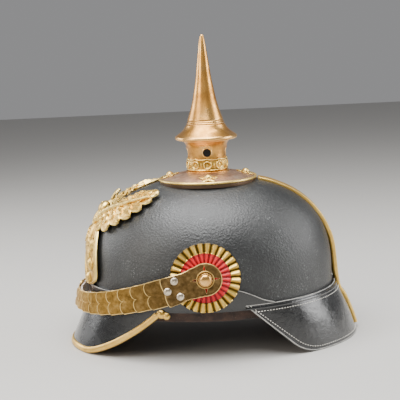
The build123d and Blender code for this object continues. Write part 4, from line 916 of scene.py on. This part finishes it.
spike_piece = make_piece("screw_in_spike", [(spike_grid, False, True)], "spike_point", spike_brass, 60)
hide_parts("spike")

# %% [markdown]
# Four studs hold the base down. Each is a domed button on a five-point star: the star's radius
# swings between its points and its hollows as the angle goes round, and its face falls to the edge.

# %% Star studs
STUD_CIRCLE, STUD_HEIGHT, STUD_SLOPE = 33.0, 143.7, 0.28
STUD_POINT, STUD_HOLLOW = 8.4, 4.6


def stud_patches(turn):
    """A star by radius over angle, and a button over its middle, in a frame on the base's slope."""
    angle = once_round(60)
    wave = np.abs(((angle * 5 / (2 * np.pi)) % 1) * 2 - 1)
    edge = STUD_HOLLOW + (STUD_POINT - STUD_HOLLOW) * wave
    ring = np.array([0.0, 0.35, 0.8, 0.97, 1.0, 1.0])[:, None]
    lift = np.array([1.5, 1.5, 0.95, 0.7, 0.5, 0.0])[:, None]
    star = stack(ring * edge * np.sin(angle), ring * edge * np.cos(angle), lift)
    button = ball((0, 0, 1.0), (3.2, 3.2, 2.8), np.eye(3))
    out = np.array([math.cos(turn), math.sin(turn), 0.0])
    normal = unit(out * STUD_SLOPE + np.array([0.0, 0.0, 1.0]))
    across = np.array([-math.sin(turn), math.cos(turn), 0.0])
    axes = np.stack([across, np.cross(normal, across), normal])
    origin = out * STUD_CIRCLE + np.array([0.0, 0.0, STUD_HEIGHT])
    return [(origin + star @ axes, False, True), (origin + button @ axes, False, True)]


studs = [patch for turn in QUARTERS for patch in stud_patches(turn)]
stud_piece = make_piece("base_stars", studs, "helmet", gilt, 35)
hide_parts("base_star_studs")

# %% [markdown]
# The front plate was struck from thin brass in a steel die, then gilded. It stands a little off the
# skull. Its field is one sheet whose height is a sum of swellings: a breast, two thighs, a fan of
# tail feathers and small lobes. The wings are separate feathers, laid like roof tiles.

# %% The plate's field
PLATE_FACE, PLATE_BACK = 4.0, 2.9


def on_front_view(y, z, grow):
    """A point of the grown skull in front of a place in the front view."""
    share = reach_share(z, grow)
    inside = np.maximum(share**2 - (y / (WIDTH + grow)) ** 2, 0.0)
    return stack(-(LENGTH + grow) * np.sqrt(inside), y, z)


def swelling(y, z, centre, size, height, power=0.6):
    """A smooth dome over an ellipse: one less the squared distance, to a power."""
    far = ((y - centre[0]) / size[0]) ** 2 + ((z - centre[1]) / size[1]) ** 2
    return height * np.maximum(1 - far, 0) ** power


def ledge(inside, slope):
    """Nothing outside a line and one inside it, with a slope of some width between them."""
    return np.clip(inside / slope, 0, 1)


def field_height(y, z):
    """How far the plate's face stands off the skull: breast, thighs, tail, lobes, rings and shield."""
    side = np.abs(y)
    height = np.full(y.shape, PLATE_FACE)
    breast = swelling(y, z, (0, 94), (13.5, 21), 3.8)
    feathers = 0.5 * np.maximum(np.sin(z * 1.6 + 1.2 * np.abs(np.sin(y * 0.9))), 0)
    height += breast * (1 + 0.16 * feathers)
    height = np.maximum(height, PLATE_FACE + swelling(side, z, (15.5, 80), (8, 13), 2.6))
    spread = 4.5 + 10.5 * ledge(86 - z, 30)
    ribs = 1.8 + 0.8 * np.abs(np.cos(np.pi * 2.5 * y / spread))
    tail = ledge(spread - side, 1.5) * ledge(z - 54.0, 2) * ribs * ledge(88 - z, 4)
    height = np.maximum(height, PLATE_FACE + tail)
    for place in ((27.0, 74.0), (23.2, 90.3), (22.0, 60.9)):
        height = np.maximum(height, PLATE_FACE + swelling(side, z, place, (5.6, 5.6), 2.9, 0.5))
        height += 0.5 * bell(np.hypot(side - place[0], z - place[1]) - 2.7, 0.5)
    shield = ledge(6.5 - side, 0.8) * ledge(z - 88 - side * 0.7, 0.8) * ledge(103 - z, 0.8)
    return np.maximum(height, PLATE_FACE + 4.5 * shield)


# The outline in the front view, (y, z), and the point that all its rays start from.
right = [(12.2, 53.7), (25.8, 55.7), (36.1, 60.6), (38, 68.2), (36.1, 79.8)]
right += [(31.2, 90.3), (25.8, 98.4), (19, 104.8)]
left = [(-y, z) for y, z in reversed(right)]
outline = smooth_line([(0, 52.5)] + right + [(0, 110.6)] + left, 260, closed=True)
heart = np.array([0.0, 80.0])
share = np.linspace(0.0, 1.0, 70)[:, None, None]
field = heart + (outline - heart)[None] * share
field_y, field_z = field[..., 0], field[..., 1]
roll = 0.9 * bell(share[..., 0] - 0.965, 0.02)
face = on_front_view(field_y, field_z, field_height(field_y, field_z) + roll)
back = on_front_view(field_y, field_z, PLATE_BACK)
plate_patches = [(closed_shell(face, back), False, True)]

# %% [markdown]
# A feather is a leaf: a line on the skull from its root to its tip, with a width that grows and
# then closes in a round end. Across it, the height is highest at the shaft and falls to the edge,
# with small ribs that slant from the shaft. Each row lies a little higher than the one below it.

# %% The wings
LEAF_TILT, LEAF_SHEET, LEAF_FLOOR, LEAF_BROAD = 0.35, 1.0, 2.6, 0.62


def leaf(root, tip, half_width, rise):
    """One feather between two (angle, height) places on the skull. Its tip narrows to a line."""
    t = np.linspace(0, 1, 22)
    angle = np.radians(root[0] + (tip[0] - root[0]) * t)
    height = root[1] + (tip[1] - root[1]) * t
    line = on_skull(angle, height)
    normal = skull_normal(angle, height)
    along = unit(np.gradient(line, axis=0))
    across = unit(np.cross(normal, along))
    grow = 0.45 + 0.55 * np.sin(np.clip(t / LEAF_BROAD, 0, 1) * np.pi / 2)
    closing = np.sqrt(np.clip(1 - ((t - LEAF_BROAD) / (1 - LEAF_BROAD)).clip(0) ** 2, 0, 1))
    width = half_width * grow * closing
    s = np.linspace(-1, 1, 13)[None, :]
    slant = t[:, None] * 42 + np.abs(s) * 5.0
    ribs = 0.13 * np.sin(slant * 1.9) * (np.abs(s) > 0.12) * (closing[:, None] > 0.3)
    body = 0.9 * (1 - np.abs(s) ** 2.2) + 0.45 * bell(s, 0.12) * (1 - t[:, None] * 0.7)
    edge = 0.35 * bell(np.abs(s) - 0.86, 0.09)
    lift = rise + body + ribs + edge + LEAF_TILT * s + 0.5 * t[:, None]
    under = np.maximum(lift - LEAF_SHEET - body, LEAF_FLOOR)
    flat = line[:, None] + across[:, None] * (s * width[:, None])[..., None]
    top, low = (flat + normal[:, None] * high[..., None] for high in (lift, under))
    ring = np.concatenate([top, low[:, ::-1]], axis=1)
    first = np.repeat(ring[:1].mean(axis=1, keepdims=True), ring.shape[1], 1)
    return np.concatenate([first, ring], axis=0), False, True


# Outer tips of the feathers and their roots along the arm, as (angle in degrees, height).
tips = [(16.0, 99.5), (28.0, 103.5), (35.5, 109.5), (42.0, 114.8)]
tips += [(47.0, 120.5), (50.0, 126.5), (49.5, 131.5)]
roots = [(10.0, 111.0), (12.0, 114.0), (15.0, 117.5), (19.0, 120.5)]
roots += [(24.0, 123.5), (30.0, 126.0), (35.0, 128.5)]
# Each row: how many feathers, their reach from arm to tip, half-width, rise, and shift along the arm.
wing_rows = [(7, 1.0, 6.6, 4.0, 0.0), (8, 0.72, 4.6, 5.0, 0.3)]
wing_rows += [(9, 0.48, 3.5, 5.9, 0.1), (9, 0.28, 2.8, 6.7, 0.4)]


def along_wing(share, places):
    """The place at a share of the way along a list of places, (angle, height)."""
    steps = np.linspace(0, 1, len(places))
    return np.array([np.interp(share, steps, np.array(places)[:, k]) for k in (0, 1)])


def wing_row(count, reach, half_width, rise, shift):
    """A row of feathers whose tips lie at a share of the way from the arm to the outer tips."""
    row = []
    for share in np.clip((np.arange(count) + shift) / (count - 1), 0, 1):
        root, tip = along_wing(share, roots), along_wing(share, tips)
        row.append(leaf(root, root + (tip - root) * reach, half_width * (1.1 - 0.35 * share), rise))
    return row


wing = [feather for row in wing_rows for feather in wing_row(*row)]
arm_line = smooth_line([(5.0, 106.0), (7.0, 110.0)] + roots + [(42.0, 131.0), (48.0, 133.0)], 60)
arm_points = on_skull(np.radians(arm_line[:, 0]), arm_line[:, 1], 6.6)
arm_size = np.interp(np.linspace(0, 1, 60), [0, 0.15, 0.6, 1], [1.2, 2.6, 2.2, 1.0])
arm_size *= 1 + 0.1 * np.sin(np.arange(60) * 1.3)
wing.append((tube(arm_points, arm_size, 12), False, True))

# %% [markdown]
# The head looks to one side under a small arched crown. Both are rounded lumps: a head, a neck, a
# curved beak that narrows to a point, and a ring of arches with a ball on each.

# %% Head and crown


def out_frame(y, z, grow):
    """Point and directions in front of the skull: outward, across, and up along the surface."""
    here = on_front_view(np.array(y), np.array(z), grow)
    above = on_front_view(np.array(y), np.array(z + 1.0), grow)
    up = unit(above - here)
    across = np.array([0.0, 1.0, 0.0])
    out = np.cross(across, up)
    out = out * (-1 if out[0] > 0 else 1)
    return here, np.stack([across, up, out])


here, axes = out_frame(1.0, 118.5, 6.0)
head = [(ball(here, (6.8, 6.4, 4.6), axes, 24, 32), False, True)]
neck_here, neck_axes = out_frame(0.0, 111.5, 5.2)
head.append((ball(neck_here, (5.6, 9.5, 3.8), neck_axes, 24, 32), False, True))
beak = [(4.0, 1.5, 1.2), (7.5, 1.8, 1.2), (10.0, 0.2, 1.2), (10.6, -2.6, 1.2)]
beak = here + np.array(beak) @ axes
head.append((tube(smooth_line(beak, 20), np.linspace(2.7, 0.3, 20), 12, up=(1, 0, 0)), False, True))
head.append((ball(here + np.array([2.6, 1.6, 4.0]) @ axes, (1.1, 1.1, 0.8), axes), False, True))
crown_here, crown_axes = out_frame(0.0, 126.5, 6.0)
band = [crown_here + crown_axes[0] * a + crown_axes[2] * 0.6 for a in np.linspace(-5.6, 5.6, 14)]
head.append((tube(band, 1.5, 10, up=(0, 0, 1)), False, True))
turn = np.linspace(0.0, 1.5, 12)
for lean in (-1.0, -0.5, 0.0, 0.5, 1.0):
    aside = 5.6 * lean + 2.4 * lean * np.sin(turn)
    rise = 8.2 * np.sin(turn * 0.95) * (1.0 - 0.25 * abs(lean))
    arch = crown_here + stack(aside, rise, 0.8 + 1.6 * np.sin(turn * 1.6)) @ crown_axes
    head.append((tube(arch, np.linspace(1.2, 0.8, 12), up=(0, 1, 0)), False, True))
    head.append((ball(arch[-1], (1.5, 1.5, 1.5), np.eye(3), 10, 12), False, True))
plate_patches += wing + mirrored(wing) + head
plate_piece = make_piece("eagle_front_plate", plate_patches, "helmet", gilt, 45)
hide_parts("eagle_plate")
print("plate faces", len(plate_piece.data.polygons))

# %% [markdown]
# The cockades are stamped discs, pleated like a paper fan. Each pleat is a ridge with straight
# sides: its height is a zigzag of the angle, shallow along both edges of a ring and full between
# them. The inner disc is painted red, and the outer ring is gilded.

# %% Cockades
POST = np.array([-6.5, -94.0, 71.5])
PLEATS, PLEAT_ROWS, COCKADE_BACK = 28, 14, -5.4


def pleats(inner, outer, depth, deep):
    """A ring in the side view whose height over its back is a zigzag of the angle."""
    angle = once_round(PLEATS * 12)[None, :]
    share = np.linspace(0, 1, PLEAT_ROWS)[:, None]
    radius = inner + (outer - inner) * share
    zigzag = 1 - np.abs(((angle * PLEATS / (2 * np.pi)) % 1) * 2 - 1)
    zigzag = np.clip(zigzag * 1.7 - 0.35, 0, 1)
    edge = np.minimum(share, 1 - share) * PLEAT_ROWS
    height = depth - deep * (1 - zigzag) * np.clip(edge, 0.25, 1)
    face = stack(radius * np.cos(angle), radius * np.sin(angle), height)
    back = stack(radius * np.cos(angle), radius * np.sin(angle), 0.0)
    # The zigzag kept in the marks sets where the cockades' painted groove shade falls.
    mark = stack(share, zigzag)
    return closed_shell(face, back), True, True, closed_shell(mark, mark)


def at_post(patch, offset):
    """Moves a patch drawn in a flat frame to the post's side view: x forward, z up, height out."""
    grid = patch[0]
    moved = stack(POST[0] - grid[..., 0], POST[1] - offset - grid[..., 2], POST[2] + grid[..., 1])
    return (moved, *patch[1:])


for side in ("left", "right"):
    rim = [at_post(pleats(20.6, 28.3, 2.6, 1.5), COCKADE_BACK)]
    disc = [at_post(pleats(3.7, 20.4, 1.8, 1.2), COCKADE_BACK)]
    if side == "right":
        rim, disc = mirrored(rim), mirrored(disc)
    rim_piece = make_piece(f"{side}_cockade_ring", rim, "helmet", cockade_gilt, 20)
    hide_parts(f"{side}_cockade_rim")
    disc_piece = make_piece(f"{side}_cockade_red", disc, "helmet", cockade_red, 20)
    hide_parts(f"{side}_cockade_disc")

# %% [markdown]
# A knob closes each post: a turned foot, a groove and a dome. The end plate under it is drawn by
# angle round the post: each ray starts at the star-shaped hole and ends at the plate's outline. A
# small bead follows the outline, and a ring lies round the knob.

# %% Knobs, end plates and rivets
# The first scale's joint and the flat part's end, both as distances from the post along the strap.
JOINT, FLAT = 34.5, 8.0
END_DISC, END_HALF, END_LOBE = 13.5, 12.2, 1.6
POST_HOLE, STAR_TIP, STAR_WAIST, STAR_TURN = 3.45, 12.0, 3.0, math.radians(14)
PLATE_BEND, LEATHER_BEND = 5.2, 14.0
RIVET_RADIUS, RIVET_RISE, RIVET_LEVEL = 3.2, 1.5, 1.7


def dome_profile(radius, foot, rise, start):
    """A quarter of an oval of (radius, height), from just above its foot to its top."""
    turn = np.linspace(start, math.pi / 2, 12)
    return list(zip(radius * np.cos(turn), foot + rise * np.sin(turn)))


knob_profile = [(0.0, 0.6), (5.4, 0.6), (5.5, 0.9), (5.5, 1.9), (5.2, 2.3), (4.6, 2.4), (4.5, 2.7)]
knob_profile += [(4.7, 3.0)] + dome_profile(4.7, 3.0, 2.2, 0.1)
slope = math.radians(17.0)
ahead, upward = [-math.cos(slope), 0.0, -math.sin(slope)], [-math.sin(slope), 0.0, math.cos(slope)]
end_axes = np.array([ahead, upward, [0.0, -1.0, 0.0]])


def drop(along, degrees):
    """How far a sheet bent to an arc has fallen at a distance from the post."""
    radius = (JOINT - FLAT) / math.radians(degrees)
    return radius - np.sqrt(radius**2 - np.maximum(0, along - FLAT) ** 2)


def end_outline_radius(angle, grow, lobes):
    """Distance from the post to the outline along each ray: a disc, then the strap's two sides, and
    a front with two round lobes. The two halves are alike, so the ray's angle loses its sign."""
    root, middle = JOINT - 0.8, END_HALF / 2
    arc = np.linspace(math.radians(68), math.radians(180), 60)
    disc = stack((END_DISC + grow) * np.cos(arc), (END_DISC + grow) * np.sin(arc))
    corners = [(root, END_HALF), (17.0, 11.3), (16.0, 11.3), (5.1, 12.8)]
    corners = np.array(corners) + np.array([0.0, grow])
    side = stack(*(np.interp(np.linspace(0, 3, 60), range(4), corners[:, k]) for k in (0, 1)))
    across = np.linspace(0, END_HALF + grow, 40)
    reach = END_LOBE * np.sqrt(np.maximum(1 - ((across - middle) / middle) ** 2, 0)) if lobes else 0.0
    front = stack(root + reach, across)
    half = np.concatenate([front, side, disc])
    polar = np.arctan2(half[:, 1], half[:, 0])
    order = np.argsort(polar)
    return np.interp(np.abs(angle), polar[order], np.hypot(half[:, 0], half[:, 1])[order])


def star_radius(angle):
    """Radius of the hole: a circle with a point on each of the four sides."""
    turn = np.abs((angle - STAR_TURN + math.pi / 4) % (math.pi / 2) - math.pi / 4)
    point = STAR_TIP * STAR_WAIST / (STAR_WAIST * np.cos(turn) + STAR_TIP * np.sin(turn))
    return np.maximum(POST_HOLE, point)


def end_plate_patch(low, thick, degrees, grow, lobes, bead):
    """A bent sheet by angle and share: each ray runs from the star's edge to the outline."""
    angle = np.linspace(-np.pi, np.pi, 288, endpoint=False)[None, :]
    share = np.linspace(0, 1, 26)[:, None]
    hole = star_radius(angle)
    edge = end_outline_radius(angle, grow, lobes)
    radius = hole + (edge - hole) * share
    x, y = radius * np.cos(angle), radius * np.sin(angle)
    level = low - drop(x, degrees)
    raised = bead * bell(edge - radius - 0.7, 0.45)
    face, back = stack(x, y, level + thick + raised), stack(x, y, level)
    near_edge = 1 - np.clip(np.minimum(edge - radius, radius - hole + 0.3) / 1.3, 0, 1)
    mark = stack(0.0, near_edge)
    return closed_shell(face, back), True, True, closed_shell(mark, mark)


def at_end(patch):
    """Moves a patch drawn in a flat frame to the strap's end: along it, across it and outwards."""
    return (POST + patch[0] @ end_axes, *patch[1:])


rivet = revolve([(0.0, 0.0), (RIVET_RADIUS, 0.0)] + dome_profile(RIVET_RADIUS, 0.0, RIVET_RISE, 0.05), 32)
rivets = []
for along, across in ((23.8, 7.1), (31.6, 0.7), (23.3, -6.4)):
    place = np.array([along, across, RIVET_LEVEL - drop(along, PLATE_BEND)])
    rivets.append((rivet + place, False, True))
ring = revolve(ring_profile(6.8, 1.75, 0.6, 0.55, 12), 64)
ring_mark = np.full(ring.shape[:2] + (2,), 0.56)
for side in ("left", "right"):
    knob = [at_post((revolve(knob_profile, 64), False, True), 1.25)]
    plate = [at_end(end_plate_patch(0.75, 0.9, PLATE_BEND, 0.0, True, 0.35))]
    plate.append(at_end((ring, True, True, ring_mark)))
    leather = [at_end(end_plate_patch(-0.7, 1.4, LEATHER_BEND, -1.0, False, 0.0))]
    studs = [at_end(patch) for patch in rivets]
    end_body = f"{side}_strap_end"
    if side == "right":
        knob, plate, leather, studs = mirrored(knob), mirrored(plate), mirrored(leather), mirrored(studs)
    for name, patches, body, material, node, slot, sharp in (
        ("knob_dome", knob, "helmet", spike_brass, "post_knob", "warm_brass", 40),
        ("strap_end_plate", plate, end_body, lobed_brass, "end_plate", "aged_brass", 35),
        ("strap_end_leather", leather, end_body, strap_leather, "end_leather", "brown_leather", 35),
        ("strap_end_rivets", studs, end_body, pale_brass, "end_rivets", "gilt", 40),
    ):
        piece = make_piece(f"{side}_{name}", patches, body, material, sharp)
        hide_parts(f"{side}_{node}")

# %% [markdown]
# Ten brass scales a side follow a line that drops from the post and runs round the front. Each
# scale lies in its own flat frame: forward along the strap, across it, and outwards. Its front edge
# is two round lobes, which stand a little over the next scale.

# %% Chin scales
# The strap's half-length from the middle of the helmet, its half-width, its fall and the fall's power.
STRAP_REACH, STRAP_SIDE, STRAP_FALL, STRAP_POWER = 118.0, 95.0, 29.4, 1.17
# How many scales there are, and the gap that they leave at the middle of the front. Then half-widths
# of the first and the last one, heights over the strap behind and in front, lobe and thickness.
SCALES, FRONT_GAP = 10, 0.6
FIRST_HALF, LAST_HALF, REAR_RISE, FRONT_RISE = 11.4, 7.4, 0.78, 2.4
SCALE_LOBE, SCALE_SHEET = 3.6, 0.7


def strap_point(turn):
    """The strap's middle line: an oval in plan, falling steeply at first and then gently."""
    share = np.sin(turn)
    x = POST[0] - (STRAP_REACH + POST[0]) * share
    z = POST[2] - STRAP_FALL * (1 - (1 - share) ** STRAP_POWER)
    return stack(x, -STRAP_SIDE * np.cos(turn), z)


turns = np.linspace(0, np.pi / 2, 2001)
walked = np.concatenate([[0], np.cumsum(np.linalg.norm(np.diff(strap_point(turns), axis=0), axis=1))])
pitch_length = (walked[-1] - FRONT_GAP - JOINT) / SCALES
joints = [turns[np.searchsorted(walked, JOINT + pitch_length * k)] for k in range(SCALES + 1)]
PITCH = float(np.linalg.norm(strap_point(joints[1]) - strap_point(joints[0])))


def link_axes(first, second):
    """Origin and directions of a link: along the strap, across it and outward."""
    origin = strap_point(first)
    along = unit(strap_point(second) - origin)
    middle = (first + second) / 2
    outward = [-math.sin(middle) / (STRAP_REACH + POST[0]), -math.cos(middle) / STRAP_SIDE, 0.0]
    outward = unit(np.array(outward))
    lean = math.radians(15.0) * (1 - math.cos(middle))
    up = np.array([0.0, 0.0, math.cos(lean)]) - outward * math.sin(lean)
    out = unit(np.cross(up, along))
    if out @ (origin * np.array([1, 1, 0])) < 0:
        out = -out
    return origin, np.stack([along, np.cross(out, along), out])


def scale_patches(index):
    """A scale's plate, with two lobes in front, and the leather under it. The last one is straight."""
    last = index == SCALES - 1
    half = FIRST_HALF + (LAST_HALF - FIRST_HALF) * index / (SCALES - 1)
    s = np.linspace(-1, 1, 49)[None, :]
    t = np.linspace(0, 1, 16)[:, None]
    rear = 0.3 if index == 0 else -0.6
    lobe = np.sqrt(np.maximum(1 - (2 * np.abs(s) - 1) ** 2, 0))
    front = np.full(s.shape, PITCH - 1.4) if last else PITCH - 0.9 + SCALE_LOBE * lobe
    x, y = rear + (front - rear) * t, s * half
    rise = REAR_RISE + (FRONT_RISE - REAR_RISE) * (x - rear) / (PITCH + 2.7)
    swell = np.sin(np.pi * np.clip((t - 0.36) / 0.64, 0, 1))
    crown = 0.35 * np.clip(lobe, 0, 1) * swell + 0.25 * bell(1 - t, 0.07)
    face = stack(x, y, rise + SCALE_SHEET + crown * (0.4 if last else 1))
    near = np.maximum(1 - (front - x) / 1.3, 1 - (1 - np.abs(s)) * half / 1.2)
    mark = stack((index + 1) / SCALES, np.clip(near, 0, 1))
    plate, mark = closed_shell(face, stack(x, y, rise)), closed_shell(mark, mark)
    length = 0.7 + (PITCH - 2.1) * np.linspace(0, 1, 6)[:, None]
    top = stack(length, np.linspace(-1, 1, 9)[None, :] * (half - 0.9), 0.7)
    strip = closed_shell(top, top * np.array([1, 1, -1]))
    patches = [(plate, True, False, mark, 0)] + cut_ends(plate, mark)
    return patches + [(strip, True, False, None, 1)] + cut_ends(strip, None, 1)


for index in range(SCALES):
    origin, axes = link_axes(joints[index], joints[index + 1])
    placed = [(origin + patch[0] @ axes, *patch[1:]) for patch in scale_patches(index)]
    for side in ("left", "right"):
        patches = placed if side == "left" else mirrored(placed)
        link_body = f"{side}_link_{index + 1:02d}"
        finish = [lobed_brass, strap_leather]
        piece = make_piece(f"{side}_lobed_scale_{index + 1:02d}", patches, link_body, finish, 35)
        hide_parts(f"{side}_scale_{index + 1:02d}")

# %% Materials for the frame's own pieces
kept = {"inner_nuts": hidden_brass, "spike_stem": hidden_brass}
kept.update({"left_closing_hook": strap_brass, "right_closing_eye": strap_brass})
for side in ("left", "right"):
    kept[f"{side}_side_post"] = strap_brass
    kept[f"{side}_post_nut"] = hidden_brass
for node, material in kept.items():
    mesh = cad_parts[node].data
    mesh.materials.clear()
    mesh.materials.append(material)

# %% [markdown]
# The helmet stands on a pale table under soft lights. The camera looks at its left side from a
# little above, through a long lens, and leans a little to one side, as the photographer's did.

# %% Table, lights and camera
CAMERA_PITCH, CAMERA_ROLL, CAMERA_DISTANCE = 8.9, -2.65, 0.88
table, table_shader = start_material("pale_table", Roughness=0.6)[:2]
table_shader.inputs["Base Color"].default_value = colour("#b4b2ae")
floor_mesh = bpy.data.meshes.new("table_top")
floor_mesh.from_pydata([(-3, -3, 0), (3, -3, 0), (3, 3, 0), (-3, 3, 0)], [], [(0, 1, 2, 3)])
floor_mesh.materials.append(table)
floor = bpy.data.objects.new("table_top", floor_mesh)
bpy.context.scene.collection.objects.link(floor)

world = bpy.data.worlds.new("soft_room")
world.use_nodes = True
background = world.node_tree.nodes["Background"]
background.inputs["Color"].default_value = colour("#e6e6e8")
background.inputs["Strength"].default_value = 0.35
bpy.context.scene.world = world


def area_light(name, place, target, size, power, tint="#ffffff"):
    """A square soft light at a place in metres that faces a target."""
    data = bpy.data.lights.new(name, "AREA")
    data.energy, data.size, data.color = power, size, colour(tint)[:3]
    light = bpy.data.objects.new(name, data)
    light.location = place
    light.rotation_euler = (Vector(target) - Vector(place)).to_track_quat("-Z", "Y").to_euler()
    bpy.context.scene.collection.objects.link(light)


area_light("top_softbox", (-0.1, -0.22, 0.95), (0, 0, 0.1), 0.95, 32.0)
area_light("front_softbox", (-0.95, -0.6, 0.5), (0, 0, 0.1), 0.5, 6.0, "#fff6ea")
area_light("rear_softbox", (0.95, 0.1, 0.6), (0, 0, 0.1), 0.5, 5.0)
area_light("low_softbox", (0.95, -0.15, 0.24), (0.1, 0, 0.03), 0.4, 4.0)
area_light("far_softbox", (-0.9, 0.4, 0.36), (-0.1, 0, 0.05), 0.5, 5.0)

camera_data = bpy.data.cameras.new("photo_camera")
camera_data.sensor_width = 36.0
camera_data.lens = 90.0
camera_data.clip_start, camera_data.clip_end = 0.01, 20.0
camera = bpy.data.objects.new("photo_camera", camera_data)
aim = Vector((-0.0078, 0.0, 0.1208))
pitch = math.radians(CAMERA_PITCH)
looking = Vector((0.0, math.cos(pitch), -math.sin(pitch)))
roll = Matrix.Rotation(math.radians(CAMERA_ROLL), 3, "Z")
turn = looking.to_track_quat("-Z", "Y").to_matrix() @ roll
camera.matrix_world = Matrix.Translation(aim - looking * CAMERA_DISTANCE) @ turn.to_4x4()
bpy.context.scene.collection.objects.link(camera)
bpy.context.scene.camera = camera

# %% Update the scene
bpy.context.view_layer.update()
